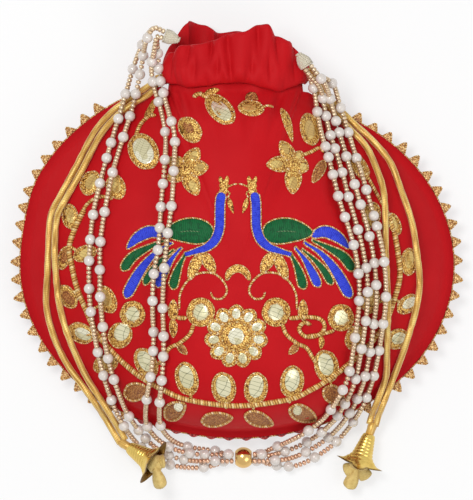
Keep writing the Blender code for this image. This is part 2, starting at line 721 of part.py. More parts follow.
def united(parts):
    """One closed bmesh from several that cross each other."""
    made = []
    for part in parts:
        mesh = bpy.data.meshes.new("piece")
        part.to_mesh(mesh)
        part.free()
        piece = bpy.data.objects.new("piece", mesh)
        made.append(piece)
    bpy.context.collection.objects.link(made[0])
    others = bpy.data.collections.new("others")
    bpy.context.scene.collection.children.link(others)
    for piece in made[1:]:
        others.objects.link(piece)
    if made[1:]:
        join = made[0].modifiers.new("union", "BOOLEAN")
        join.operation = "UNION"
        join.solver = "EXACT"
        join.operand_type = "COLLECTION"
        join.collection = others
    bm = evaluated_bmesh(made[0])
    for piece in made:
        bpy.data.objects.remove(piece, do_unlink=True)
    bpy.data.collections.remove(others)
    bmesh.ops.remove_doubles(bm, verts=bm.verts, dist=0.000004)
    return bm


# Embroidered patches: flat outlines, joined, cut into small cells and laid on the cloth


def ellipse(x, y, long, short, turn, steps=12):
    """Outline of a leaf or a mirror: full length, full width, and its direction in degrees."""
    points = []
    for step in range(steps):
        angle = 2 * pi * step / steps
        u, v = long / 2 * cos(angle), short / 2 * sin(angle)
        lean = radians(turn)
        points.append((x + u * cos(lean) - v * sin(lean), y + u * sin(lean) + v * cos(lean)))
    return points


def leaf(x0, y0, x1, y1, wide, blunt=0.0):
    """Outline of a petal from its stem to its tip."""
    along = Vector((x1 - x0, y1 - y0))
    across = Vector((-along.y, along.x)).normalized() * wide / 2
    sides = ((0.0, 0.18), (0.2, 0.55), (0.45, 0.92), (0.7, 1.0), (0.9, 0.62 + 0.2 * blunt))
    start = Vector((x0, y0))
    right = [start + along * share + across * half for share, half in sides]
    left = [start + along * share - across * half for share, half in sides]
    return [tuple(point) for point in right + [start + along] + left[::-1]]


def ribbon(points, wide):
    """Outline of an embroidered stem along a smooth line."""
    line = through([Vector((x, y, 0)) for x, y in points], STEM_STEP)
    right, left = [], []
    for index, point in enumerate(line):
        along = (line[min(index + 1, len(line) - 1)] - line[max(index - 1, 0)]).normalized()
        across = Vector((-along.y, along.x, 0)) * wide / 2
        right.append((point.x + across.x, point.y + across.y))
        left.append((point.x - across.x, point.y - across.y))
    return right + left[::-1]


def make_patch(name, shapes, ground, colour, metallic=0.6, cell=PATCH_CELL):
    """One embroidered motif: every outline is a plate, and the joined plate follows the cloth."""
    plates = []
    for rank, (outline, thick) in enumerate(shapes):
        plate = bmesh.new()
        low = -0.00004 * (rank % 5)
        verts = [plate.verts.new((x * MM, y * MM, low)) for x, y in outline]
        grown = bmesh.ops.extrude_face_region(plate, geom=[plate.faces.new(verts)])["geom"]
        raised = [item for item in grown if isinstance(item, bmesh.types.BMVert)]
        lift = thick * PATCH_THICKNESS + 0.00004 * (rank % 5) - low
        bmesh.ops.translate(plate, vec=(0, 0, lift), verts=raised)
        bmesh.ops.recalc_face_normals(plate, faces=plate.faces)
        plates.append(plate)
    bm = united(plates)
    low = min(vert.co.z for vert in bm.verts)
    xs = [vert.co.x for vert in bm.verts]
    ys = [vert.co.y for vert in bm.verts]
    for lowest, highest, normal in ((min(xs), max(xs), (1, 0, 0)), (min(ys), max(ys), (0, 1, 0))):
        cuts = int((highest - lowest) / cell)
        for cut in range(1, cuts + 1):
            level = lowest + (highest - lowest) * cut / (cuts + 1)
            everything = bm.verts[:] + bm.edges[:] + bm.faces[:]
            bmesh.ops.bisect_plane(bm, geom=everything, dist=0.00005, plane_no=normal,
                                   plane_co=(level * normal[0], level * normal[1], 0))
    bmesh.ops.triangulate(bm, faces=bm.faces)
    bmesh.ops.delete(bm, geom=[edge for edge in bm.edges if not edge.link_faces], context="EDGES")
    lifts = {}
    for vert in bm.verts:
        spot = plan_key(vert)
        if spot not in lifts:
            lifts[spot] = ground.height(vert.co.x, vert.co.y) + PATCH_GAP
    places = {plan_key(vert): vert.co.copy() for vert in bm.verts}
    spans = sorted({tuple(sorted(map(plan_key, edge.verts))) for edge in bm.edges})
    supports = [((one, 1 - share), (two, share)) for one, two in spans
                for share in (0.1, 0.2, 0.3, 0.4, 0.5, 0.6, 0.7, 0.8, 0.9)]
    for corners in sorted({tuple(sorted(map(plan_key, face.verts))) for face in bm.faces}):
        for heavy in range(3):
            supports.append([(key, 0.6 if index == heavy else 0.2) for index, key in enumerate(corners)])
    for shares in supports:
        spot = sum((places[key] * share for key, share in shares), Vector())
        level = sum(lifts[key] * share for key, share in shares)
        short = ground.height(spot.x, spot.y) + PATCH_GAP - level
        if short > 0:
            for key, share in shares:
                lifts[key] += short
    for vert in bm.verts:
        vert.co.z += lifts[plan_key(vert)] - low
    bmesh.ops.recalc_face_normals(bm, faces=bm.faces)
    return to_object(bm, name, finish_material(name + "_thread", colour, 0.5, metallic), 35.0)


def plan_key(vert):
    """Place in the plan, shared by the top and the underside of a patch."""
    return round(vert.co.x * 2e5), round(vert.co.y * 2e5)


def flip(outline, side):
    """An outline drawn for the right half, on the right or mirrored to the left."""
    if side == "right":
        return [(MOTIF_AXIS + x, y) for x, y in outline]
    return [(MOTIF_AXIS - x, y) for x, y in outline[::-1]]


FEATHERS = ((32, 15.5, 55, 8, 5.5), (31, 14, 57.5, -3, 6.0), (29, 13, 56.5, -15.5, 6.0),
            (27, 12, 47, -10, 5.5), (24, 12, 40, -10.5, 5.0), (20, 12, 32.5, -12, 4.5))


def peacock(side):
    shapes = [(ellipse(25.5, 16.5, 26, 13.5, 8, 14), 1.0)]
    shapes.append((ribbon([(9, 38), (8.6, 28), (9.6, 17), (15, 10.5), (24, 8)], 5.4), 0.95))
    shapes.append((ellipse(7.6, 39.5, 7.0, 6.0, 0, 10), 1.05))
    shapes.append((leaf(5.5, 40, 0.9, 41.5, 2.2), 0.9))
    shapes.append((leaf(8, 41, 10.5, 46.5, 2.4), 0.9))
    for x0, y0, x1, y1, wide in FEATHERS:
        shapes.append((leaf(x0, y0, x1, y1, wide, 1.0), 0.9))
    return [(flip(outline, side), thick) for outline, thick in shapes]


def rosette():
    shapes = [(ellipse(-0.5, -35, 18, 18, 0, 10), 1.0), (ellipse(-0.5, -35, 7.5, 7.5, 0, 10), 1.5)]
    for petal in range(10):
        angle = radians(36 * petal + 18)
        x, y = -0.5 + 11.2 * cos(angle), -35 + 11.2 * sin(angle)
        shapes.append((ellipse(x, y, 11.5, 7.6, degrees(angle), 8), 0.9))
    return shapes


def scroll(side):
    curl = [(29, -24.5), (27.5, -15), (20, -8), (11.5, -7.5), (5.5, -12), (7.5, -17.5), (12, -16)]
    shapes = [(flip(ribbon(curl, 2.0), side), 0.9)]
    shapes.append((flip(ribbon([(26, -29.5), (31, -33), (37.5, -39), (41, -46)], 2.0), side), 0.9))
    shapes.append((flip(ribbon([(31, -33), (34, -27), (29, -24.5)], 1.8), side), 0.85))
    shapes.append((flip(leaf(33, -35, 29, -43, 4.5), side), 0.95))
    return shapes


VINE = ((-83, 12), (-82.5, -1), (-79.5, -13), (-74, -28.5), (-61, -45), (-47, -56), (-37, -62), (-24.5, -67),
        (0, -70.5), (25, -67.5), (37, -62.5), (47, -56), (61, -45), (74, -28.5), (80, -13), (83, -1), (83.5, 12))
MIRROR_LEAVES = ((-45.5, -48.5, 122), (-25.5, -57, 108), (-8, -61, 96), (9, -61.5, 84), (27.5, -58.5, 72),
                 (45, -50.5, 58))
GOLD_LEAVES = ((-50, -62, 48), (-31.5, -70.5, 62), (-10.5, -75, 80), (12, -75, 100), (33, -72.5, 118),
               (49, -64.5, 132))
SIDE_PETALS = ((66, -18, 80), (58.5, -34, 70), (86, -18, 112), (79, -35, 124), (88, 6, 92), (76.5, 6, 88))


def garland():
    shapes = [(ribbon(VINE, 2.2), 0.9)]
    shapes += [(ellipse(x, y, 13, 9.5, turn, 8), 1.0) for x, y, turn in MIRROR_LEAVES]
    shapes += [(ellipse(x, y, 10, 6, turn, 6), 0.95) for x, y, turn in GOLD_LEAVES]
    for side in (-1, 1):
        for x, y, turn in SIDE_PETALS:
            turned = turn if side > 0 else 180 - turn
            shapes.append((ellipse(side * x, y, 12, 7.5, turned, 6), 0.95))
    for index, (x, y, _) in enumerate(MIRROR_LEAVES):
        foot_x, foot_y, _ = GOLD_LEAVES[index]
        shapes.append((ribbon([(x, y), ((x + foot_x) / 2, (y + foot_y) / 2), (foot_x, foot_y)], 1.6), 0.8))
    for side in (-1, 1):
        for x, y, turn in SIDE_PETALS:
            near = min(VINE, key=lambda spot: hypot(spot[0] - side * x, spot[1] - y))
            stem = [(side * x, y), ((side * x + near[0]) / 2, (y + near[1]) / 2 - 0.5), near]
            shapes.append((ribbon(stem, 1.6), 0.8))
    return shapes


def flower(x, y, petals, core):
    shapes = [(ellipse(x, y, core, core, 0, 10), 1.2)]
    for reach_x, reach_y, wide in petals:
        root_x, root_y = x - PETAL_ROOT * reach_x, y - PETAL_ROOT * reach_y
        shapes.append((leaf(root_x, root_y, x + reach_x, y + reach_y, wide, 1.0), 0.95))
    return shapes


def mirror_disc(x, y, size):
    return [(ellipse(x, y, size, size, 0, 12), 0.8), (ellipse(x, y, size * 0.62, size * 0.62, 0, 8), 1.25)]


def make_embroidery(ground):
    gold, foil = ZARI_GOLD, MIRROR_FOIL
    pieces = [make_patch("peacock_left", peacock("left"), ground, PEACOCK_BLUE, 0.0),
              make_patch("peacock_right", peacock("right"), ground, PEACOCK_BLUE, 0.0),
              make_patch("rosette", rosette(), ground, foil),
              make_patch("scroll_left", scroll("left"), ground, gold),
              make_patch("scroll_right", scroll("right"), ground, gold),
              make_patch("garland", garland(), ground, gold, cell=3 * PATCH_CELL)]
    mirrors = {"mirror_inner_left": (-18.5, -23.0, 12.5), "mirror_inner_right": (19.7, -23.0, 12.5),
               "mirror_outer_left": (-52, -24.5, 11.5), "mirror_outer_right": (51.5, -26.5, 11.5)}
    for name, (x, y, size) in mirrors.items():
        pieces.append(make_patch(name, mirror_disc(x, y, size), ground, foil))
    left = ((6, 8.5, 7.5), (9.5, 0.5, 7), (4, -11, 7.5), (-7, 6, 7), (-8, -5, 7))
    right = ((-6, 8.3, 7.4), (-10, -0.7, 7), (-3, -11, 7.4), (3.4, 6.6, 5.4), (9, -3.3, 7))
    pieces.append(make_patch("flower_left", flower(-26.5, 49, left, 6), ground, gold))
    pieces.append(make_patch("flower_right", flower(29.5, 50, right, 6), ground, gold, cell=PATCH_CELL / 2))
    pieces.append(make_patch("top_oval_left", [(ellipse(-9, 75.5, 15, 8.5, -14, 14), 1.0)], ground, foil))
    pieces.append(make_patch("top_oval_right", [(ellipse(7.5, 77, 11, 7, 12, 12), 1.0)], ground, foil))
    pieces.append(make_patch("drop_left", [(ellipse(-46.5, 57, 16.5, 12.5, 70, 14), 1.0)], ground, gold))
    pieces.append(make_patch("drop_small_left", [(ellipse(-24, 67.5, 11, 7, 60, 12), 1.0)], ground, gold))
    pieces.append(make_patch("drop_right", [(ellipse(35.5, 67.5, 9, 7, 60, 12), 1.0)], ground, foil))
    pieces.append(make_patch("leaf_pair_right", [(leaf(20, 77, 24.5, 69, 5.5), 1.0),
                                                 (leaf(24, 70.5, 28.5, 60.5, 6), 0.95)], ground, gold))
    for side, mark in (("left", -1), ("right", 1)):
        petals = [(ellipse(mark * 73, 43.5, 12, 7.5, 90 + mark * 25, 10), 1.0),
                  (ellipse(mark * 61, 39, 12, 7.5, 90 - mark * 20, 10), 0.95),
                  (ellipse(mark * 84, 24, 12, 7.5, 90 - mark * 30, 10), 0.9),
                  (ribbon([(mark * 61, 39), (mark * 71, 33), (mark * 79, 24), (mark * 84, 24)], 1.8), 0.85),
                  (ribbon([(mark * 71, 33), (mark * 73, 43)], 1.8), 0.8)]
        pieces.append(make_patch(f"side_spray_{side}", petals, ground, gold))
    return pieces


# The strap: four strands of beads a side, tied at the neck, meeting in one ball

LEFT_STRANDS = (
    ((-39.5, 105), (-39, 96), (-37, 87), (-34, 76), (-31, 64), (-31.5, 47), (-32.5, 30), (-34.5, 15),
     (-36, 0), (-37, -20), (-36.5, -36), (-37, -52), (-38.5, -68), (-38.5, -79), (-35.5, -85),
     (-30.5, -89), (-24, -91.3), (-17, -92.4), (-10, -93.4)),
    ((-41.5, 106), (-42.8, 98), (-41.2, 88), (-37.8, 77), (-35.5, 64), (-36, 50), (-37.7, 30), (-39, 10),
     (-41.5, -6), (-42, -22), (-41.5, -37), (-42.5, -52), (-45, -67), (-45.5, -78.5), (-42, -85),
     (-36.5, -89.7), (-29.5, -93), (-21, -94.8), (-12, -95.2)),
    ((-45.5, 111), (-47.6, 100), (-50, 88), (-53.3, 75), (-58, 60), (-62, 46), (-65.5, 29), (-68, 12),
     (-68.3, -3), (-68, -18), (-66.5, -34), (-64, -48), (-60.5, -60), (-55.5, -73), (-49.5, -82.5),
     (-43.5, -89.3), (-36.5, -94.4), (-28.5, -97.3), (-20, -98.3), (-12, -98.2)),
    ((-46.5, 112), (-51.5, 100), (-55, 88), (-59.3, 73), (-64, 57), (-68, 42), (-71.5, 26), (-73.3, 10),
     (-73.8, -6), (-73, -22), (-70.5, -38), (-67.5, -52), (-64, -64), (-59.5, -75.5), (-53.8, -85),
     (-47, -92.5), (-39.5, -98), (-30, -101), (-20, -101.7), (-12, -100.6)),
)
RIGHT_STRANDS = (
    ((38.5, 87), (40, 77), (42, 66), (45, 56), (48, 44), (51, 32), (55, 20), (58.5, 8),
     (60.5, -5), (60.8, -19), (59.3, -32), (57.5, -45), (55, -57), (49.5, -68), (43, -77), (34, -84),
     (24.5, -89), (15.5, -93)),
    ((41.5, 88), (43.8, 78), (46, 67), (49.5, 56), (53, 44), (56, 32), (59.5, 20), (62.5, 8),
     (64.7, -5), (65, -19), (63.5, -32), (61.5, -45), (58.8, -58), (53, -71), (45.5, -81), (35.5, -88.5),
     (25.5, -93), (16, -95.6)),
    ((44.5, 89), (47.6, 79), (50.5, 68), (54, 56), (57.5, 44), (61, 32), (64.5, 20), (67.3, 8),
     (69, -5), (69.3, -19), (67.8, -32), (66, -45), (63, -59), (57, -73), (48, -84.5), (37, -92.5),
     (26.5, -97), (17, -98)),
    ((47.8, 90.5), (51.4, 80), (54.8, 69), (58.5, 57), (62.3, 45), (66, 32), (69.5, 20),
     (72.3, 8), (74, -6), (74, -20), (72.3, -33), (70.3, -46), (67, -60), (60.5, -75), (50.5, -88),
     (38.5, -96.8), (27.5, -101), (16, -99.8)),
)
# Ends of each tie: X out from the end of the neck oval on its side, and Y, in millimetres
TIES = {"left": ((-5.25, 112.0), (2.75, 114.6)), "right": ((-2.05, 105.6), (1.95, 100.2))}
QUARTERS = ((1, -1), (1, 1), (-1, 1), (-1, -1))
LAY_ORDER = (0, 3, 1, 2)


def tie_line(side, ground):
    """Start and direction of a tie, laid level on the frill."""
    (x0, y0), (x1, y1) = TIES[side]
    out = -1 if side == "left" else 1
    flat = Vector((out * (x1 - x0), y1 - y0, 0.0)).normalized()
    start = Vector((NECK_X + out * (NECK_HALF_WIDTH + x0 * MM), y0 * MM, 0.0))
    places = [start + flat * TIE_LENGTH * share for share in (0.0, 0.25, 0.5, 0.75, 1.0)]
    start.z = max(ground.rest_height(place.x, place.y, TIE_DIAMETER / 2) for place in places)
    return start, flat


def make_tie(side, start, along):
    bm = bmesh.new()
    bmesh.ops.create_cone(bm, cap_ends=True, segments=16, radius1=TIE_DIAMETER / 2,
                          radius2=TIE_DIAMETER / 2, depth=TIE_LENGTH)
    turn = Vector((0, 0, 1)).rotation_difference(along).to_matrix().to_4x4()
    middle = start + along * TIE_LENGTH / 2
    bmesh.ops.transform(bm, matrix=Matrix.Translation(middle) @ turn, verts=bm.verts)
    return to_object(bm, f"strap_tie_{side}", finish_material("ivory_thread", IVORY, 0.7, 0.0), 50.0)


def make_ball():
    """Round spacer bead, flattened where the strands enter its hole."""
    bm = bmesh.new()
    rings = 7
    profile = []
    edge = sqrt((BALL_DIAMETER / 2) ** 2 - (BALL_FACE / 2) ** 2)
    limit = atan2(edge, BALL_FACE / 2)
    for step in range(rings + 1):
        angle = -limit + 2 * limit * step / rings
        profile.append(Vector((BALL_DIAMETER / 2 * sin(angle), BALL_DIAMETER / 2 * cos(angle), 0)))
    verts = [bm.verts.new(point) for point in profile]
    edges = [bm.edges.new((one, two)) for one, two in zip(verts, verts[1:])]
    bmesh.ops.spin(bm, geom=verts + edges, axis=(1, 0, 0), cent=(0, 0, 0), steps=16, angle=2 * pi,
                   use_merge=True)
    bmesh.ops.remove_doubles(bm, verts=bm.verts, dist=0.00002)
    bmesh.ops.holes_fill(bm, edges=[edge for edge in bm.edges if edge.is_boundary], sides=40)
    bmesh.ops.recalc_face_normals(bm, faces=bm.faces)
    place = Vector((BALL_PLACE[0] * MM, BALL_PLACE[1] * MM, BALL_DIAMETER / 2))
    bmesh.ops.translate(bm, vec=place, verts=bm.verts)
    return to_object(bm, "strap_ball", finish_material("ball_gold", BELL_GOLD, 0.15, 1.0), 40.0)


def make_strands(side, ground, start, along):
    pearl = finish_material("pearl_beads", PEARL_WHITE, 0.25, 0.0)
    across = along.cross(Vector((0, 0, 1))).normalized()
    spread = STRAND_DIAMETER / 2 + 0.00025
    face = BALL_PLACE[0] * MM + (-1 if side == "left" else 1) * (
        sqrt((BALL_DIAMETER / 2) ** 2 - (BALL_FACE / 2) ** 2) + 2 * SEAT_GAP)
    routes = LEFT_STRANDS if side == "left" else RIGHT_STRANDS
    out = -1 if side == "left" else 1
    for rank in LAY_ORDER:
        route, (flank, over) = routes[rank], QUARTERS[rank]
        lean = out * flank
        leave = start + along * (TIE_LENGTH + SEAT_GAP) + across * (lean * spread)
        leave.z += over * spread
        ball_y = BALL_PLACE[1] * MM + flank * spread
        ball_z = BALL_DIAMETER / 2 + over * spread
        meet = Vector((face, ball_y, ball_z))
        near = Vector((face + out * 4.5 * MM, ball_y, ball_z))
        first = leave + along * (0.003 if flank > 0 else 0.006)
        plan = [(first.x / MM, first.y / MM)] + list(route) + [(near.x / MM, near.y / MM)]
        laid = ground.lay(plan, STRAND_DIAMETER, leave.z, meet.z)
        make_cord(f"strap_strand_{side}_{rank + 1}", [leave] + laid + [meet], STRAND_DIAMETER, pearl)


def main():
    clear_scene()
    front = make_panel("front_panel", 1, 24, 0.0125, (0.95, 0.89, 0.81, 0.71, 0.58, 0.42, 0.22))
    make_panel("back_panel", -1, 12, 0.0125, (0.88, 0.76, 0.64, FOOT_FLAT))
    band = make_neck_band()
    lace = make_lace()
    ground = Ground()
    ground.add(front)
    patches = make_embroidery(ground)
    for laid in [band, lace] + patches:
        ground.add(laid)
    for side in ("left", "right"):
        make_knot(side, make_drawcord(side, ground))
        make_bell(side)
        make_petals(side)
    make_ball()
    for side in ("left", "right"):
        start, along = tie_line(side, ground)
        make_tie(side, start, along)
        make_strands(side, ground, start, along)


main()
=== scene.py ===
# %% [markdown]
# # A potli bag in Blender
# A potli is a round drawstring pouch of gathered silk. This one lies on its back on a white table,
# seen straight from above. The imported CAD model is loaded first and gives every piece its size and
# place, and this script then dresses each piece: cloth, zari lace, embroidery, satin cords, beads.

# %% Load the frame
from math import asin, atan2, cos, degrees, exp, hypot, pi, radians, sin, sqrt

import bmesh
import bpy
from mathutils import Matrix, Vector, noise
from mathutils.bvhtree import BVHTree


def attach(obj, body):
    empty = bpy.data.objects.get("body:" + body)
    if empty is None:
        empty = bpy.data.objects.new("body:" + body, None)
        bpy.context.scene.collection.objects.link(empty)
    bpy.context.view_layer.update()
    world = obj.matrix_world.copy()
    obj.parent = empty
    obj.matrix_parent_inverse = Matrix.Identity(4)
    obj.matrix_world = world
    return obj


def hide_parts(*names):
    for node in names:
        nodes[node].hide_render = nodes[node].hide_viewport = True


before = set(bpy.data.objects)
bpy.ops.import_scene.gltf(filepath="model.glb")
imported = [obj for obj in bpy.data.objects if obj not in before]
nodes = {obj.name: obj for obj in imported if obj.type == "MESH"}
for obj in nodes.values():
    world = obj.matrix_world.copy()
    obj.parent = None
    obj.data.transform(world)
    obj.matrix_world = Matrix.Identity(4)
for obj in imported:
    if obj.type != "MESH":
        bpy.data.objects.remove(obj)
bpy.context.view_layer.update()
MM = 0.001
SIDES = ("left", "right")
print("CAD nodes:", len(nodes))

# %% [markdown]
# ## Camera
# The photograph looks straight down on the bag with a long lens, so that one pixel is half a
# millimetre nearly everywhere. A camera six metres up with a narrow lens gives that flat view.

# %% Camera
PIXEL = 0.5 * MM
PHOTO_WIDE, PHOTO_HIGH = 473, 500
ORIGIN_PIXEL = (237.0, 265.0)        # where the frame's origin lies in the photograph
CAMERA_HEIGHT = 6.0
SCALE_LEVEL = 0.022                  # the height at which one pixel is exactly half a millimetre

camera_data = bpy.data.cameras.new("photo_camera")
camera_data.sensor_width = 36.0
camera_data.lens = 36.0 * (CAMERA_HEIGHT - SCALE_LEVEL) / (PHOTO_HIGH * PIXEL)
camera_data.clip_end = 20.0
camera = bpy.data.objects.new("photo_camera", camera_data)
camera.location = ((PHOTO_WIDE / 2 - ORIGIN_PIXEL[0]) * PIXEL,
                   (ORIGIN_PIXEL[1] - PHOTO_HIGH / 2) * PIXEL, CAMERA_HEIGHT)
bpy.context.collection.objects.link(camera)
bpy.context.scene.camera = camera
bpy.context.scene.view_settings.view_transform = "Standard"
print("camera lens:", round(camera_data.lens), "mm from", CAMERA_HEIGHT, "m")

# %% [markdown]
# ## Shader maths
# A pattern is easier to read as arithmetic than as a list of links. `Value` wraps a socket, so that
# `stripe * 0.5 + 0.2` adds the Math nodes it needs.

# %% Shader maths


class Value:
    """A socket that takes part in arithmetic; each operator adds one Math node."""

    def __init__(self, paint, socket):
        self.paint, self.socket = paint, socket

    def join(self, operation, first, second):
        return self.paint.node("ShaderNodeMath", {"operation": operation}, {0: first, 1: second})

    def __add__(self, other):
        return self.join("ADD", self, other)

    def __radd__(self, other):
        return self.join("ADD", other, self)

    def __sub__(self, other):
        return self.join("SUBTRACT", self, other)

    def __rsub__(self, other):
        return self.join("SUBTRACT", other, self)

    def __mul__(self, other):
        return self.join("MULTIPLY", self, other)

    def __rmul__(self, other):
        return self.join("MULTIPLY", other, self)

    def __gt__(self, other):
        return self.join("GREATER_THAN", self, other)


print("sockets take the operators", "+ - * >")

# %% [markdown]
# ## One material
# `Paint` holds one Principled material. What is constant is set on its sockets, and only what
# varies over the surface is linked. Every other node is added through a single method.

# %% Paint


class Paint:
    """One material: a Principled shader with constants, and the nodes that vary over the surface."""

    def __init__(self, name, colour, **constants):
        self.material = bpy.data.materials.new(name)
        self.material.use_nodes = True
        self.tree = self.material.node_tree
        self.shader = self.tree.nodes["Principled BSDF"]
        self.shader.inputs["Base Color"].default_value = (*colour, 1.0)
        for socket, value in constants.items():
            self.shader.inputs[socket.replace("_", " ")].default_value = value
        self.material.diffuse_color = (*colour, 1.0)

    def node(self, kind, settings=None, sockets=None, output=0):
        made = self.tree.nodes.new(kind)
        for key, value in (settings or {}).items():
            if key == "stops":
                while len(made.color_ramp.elements) < len(value):
                    made.color_ramp.elements.new(1.0)
                for stop, (place, colour) in zip(made.color_ramp.elements, value):
                    stop.position, stop.color = place, (*colour, 1.0)
            else:
                setattr(made, key, value)
        for key, value in (sockets or {}).items():
            if isinstance(value, Value):
                self.tree.links.new(value.socket, made.inputs[key])
            else:
                made.inputs[key].default_value = value
        return Value(self, made.outputs[output])

    def feed(self, **inputs):
        for socket, value in inputs.items():
            self.tree.links.new(value.socket, self.shader.inputs[socket.replace("_", " ")])
        return self

    def place(self):
        return self.node("ShaderNodeTexCoord", output=3)

    def attribute(self, name):
        return self.node("ShaderNodeAttribute", {"attribute_name": name}, output=2)

    def wave(self, value, period):
        """A sine of a length, from 0 to 1."""
        swing = self.node("ShaderNodeMath", {"operation": "SINE"}, {0: value * (2 * pi / period)})
        return swing * 0.5 + 0.5

    def blend(self, share, first, second):
        """Colour between two, each a colour or a socket."""
        ends = {6: first if isinstance(first, Value) else (*first, 1.0),
                7: second if isinstance(second, Value) else (*second, 1.0)}
        return self.node("ShaderNodeMix", {"data_type": "RGBA"}, {0: share, **ends}, output=2)

    def bump(self, height, distance, strength=1.0):
        return self.node("ShaderNodeBump", None,
                         {"Height": height, "Distance": distance, "Strength": strength})


print("helpers for a material:", Value.__name__, Paint.__name__)

# %% [markdown]
# ## Colours
# The photograph's colours are written as they look, and turned into the linear values that the
# shaders need.

# %% Colours


def colour(red, green, blue):
    """Linear colour from the 0 to 255 values of a screen."""
    return tuple(((part / 255 + 0.055) / 1.055) ** 2.4 if part > 10 else part / 3295
                 for part in (red, green, blue))


RED = colour(200, 18, 26)
DEEP_RED = colour(178, 12, 22)
print("silk red:", [round(part, 3) for part in RED])

# %% [markdown]
# ## Floor
# The bag was photographed on white under soft light. The floor mixes a white diffuse with a white
# that only camera and mirror rays see, so it looks white and still keeps the bag's soft shadow.

# %% Floor
FLOOR_GLOW = 0.66
TABLE_HALF = 4.0
TABLE_DROP = 0.2 * MM                # keeps the table just below the cloth that lies on it


def seen_directly(tree):
    """A socket that is 1 for rays from the camera, or by way of a mirror or glass."""
    path = tree.nodes.new("ShaderNodeLightPath")
    seen = path.outputs["Is Camera Ray"]
    for ray in ("Is Glossy Ray", "Is Transmission Ray"):
        either = tree.nodes.new("ShaderNodeMath")
        either.operation = "MAXIMUM"
        tree.links.new(seen, either.inputs[0])
        tree.links.new(path.outputs[ray], either.inputs[1])
        seen = either.outputs[0]
    return seen


floor_paint = Paint("white_table", (0.93, 0.93, 0.93), Roughness=0.9)
share = Value(floor_paint, seen_directly(floor_paint.tree)) * FLOOR_GLOW
glow = floor_paint.node("ShaderNodeEmission", None, {"Color": (1, 1, 1, 1), "Strength": 1.0})
matt = Value(floor_paint, floor_paint.shader.outputs[0])
mixed = floor_paint.node("ShaderNodeMixShader", None, {0: share, 1: matt, 2: glow})
floor_paint.tree.links.new(mixed.socket, floor_paint.tree.nodes["Material Output"].inputs["Surface"])

bm = bmesh.new()
bmesh.ops.create_grid(bm, x_segments=1, y_segments=1, size=TABLE_HALF)
bmesh.ops.translate(bm, verts=bm.verts, vec=(0, 0, -TABLE_DROP))
floor_mesh = bpy.data.meshes.new("table_top")
bm.to_mesh(floor_mesh)
bm.free()
floor_mesh.materials.append(floor_paint.material)
table_top = bpy.data.objects.new("table_top", floor_mesh)
bpy.context.collection.objects.link(table_top)
print("table width:", 2 * TABLE_HALF, "m, glow", FLOOR_GLOW)

# %% [markdown]
# ## Light
# The sky is dimmer for the cloth than for the camera, so that the lamps can model the folds. A
# small key lamp stands at the upper left and a wide fill lamp at the lower right.

# %% Light
SKY_STRENGTH = 0.5

world = bpy.data.worlds.new("studio")
world.use_nodes = True
bpy.context.scene.world = world
sky = world.node_tree
lit = sky.nodes["Background"]
lit.inputs["Color"].default_value = (1.0, 1.0, 1.0, 1.0)
lit.inputs["Strength"].default_value = SKY_STRENGTH
white = sky.nodes.new("ShaderNodeBackground")
white.inputs["Strength"].default_value = 1.0
choice = sky.nodes.new("ShaderNodeMixShader")
sky.links.new(seen_directly(sky), choice.inputs[0])
sky.links.new(lit.outputs[0], choice.inputs[1])
sky.links.new(white.outputs[0], choice.inputs[2])
sky.links.new(choice.outputs[0], sky.nodes["World Output"].inputs["Surface"])


def lamp(name, place, aim, size, power):
    """A soft square lamp that faces a point."""
    data = bpy.data.lights.new(name, "AREA")
    data.size, data.energy = size, power
    made = bpy.data.objects.new(name, data)
    made.location = place
    made.rotation_mode = "QUATERNION"
    made.rotation_quaternion = (Vector(aim) - Vector(place)).to_track_quat("-Z", "Y")
    bpy.context.collection.objects.link(made)
    print(name, "size", size, "power", power)


lamp("key_lamp", (-0.28, 0.26, 1.05), (0, 0, 0.02), size=0.35, power=5.6)
lamp("fill_lamp", (0.60, -0.45, 0.80), (0, -0.02, 0.02), size=0.6, power=2.4)

# %% [markdown]
# ## Silk
# The cloth is a plain silk with a soft sheen. Real silk shows a fine weave close up and a slow
# mottling from a distance: two crossed waves give the weave, and a noise the mottling. A photograph
# of silk could do this too, but waves stay sharp close up and need no file.

# %% Silk material
WEAVE_PITCH = 0.42 * MM


def across_cloth(paint, place):
    """The X and Y of a shader position."""
    return [paint.node("ShaderNodeSeparateXYZ", None, {0: place}, output=axis) for axis in range(2)]


def silk(name, light, dark):
    paint = Paint(name, light, Sheen_Weight=0.04, Sheen_Roughness=0.4, Specular_IOR_Level=0.12)
    paint.shader.inputs["Sheen Tint"].default_value = (1.0, 0.3, 0.3, 1.0)
    place = paint.place()
    x, y = across_cloth(paint, place)
    weave = paint.wave(x, WEAVE_PITCH) * paint.wave(y, WEAVE_PITCH)
    slubs = paint.node("ShaderNodeTexNoise", None, {"Vector": place, "Scale": 900.0, "Detail": 2.0})
    mottle = paint.node("ShaderNodeTexNoise", None, {"Vector": place, "Scale": 55.0, "Detail": 3.0})
    paint.feed(Base_Color=paint.blend(mottle * 0.7 + weave * 0.12, light, dark),
               Roughness=mottle * 0.16 + 0.5,
               Normal=paint.bump(weave * 0.6 + slubs * 0.5, 0.00012, 0.55))
    return paint.material


SILK = silk("red_silk", RED, DEEP_RED)
print("cloth material:", SILK.name)

# %% [markdown]
# ## Curves through chosen points
# Seams, cords and stems are all smooth lines through a few places. One helper runs a Catmull-Rom
# curve through them and returns evenly spaced points.

# %% Smooth lines
CURVE_STEPS = 16
UP = Vector((0.0, 0.0, 1.0))


def length_of(points):
    return sum((two - one).length for one, two in zip(points, points[1:]))


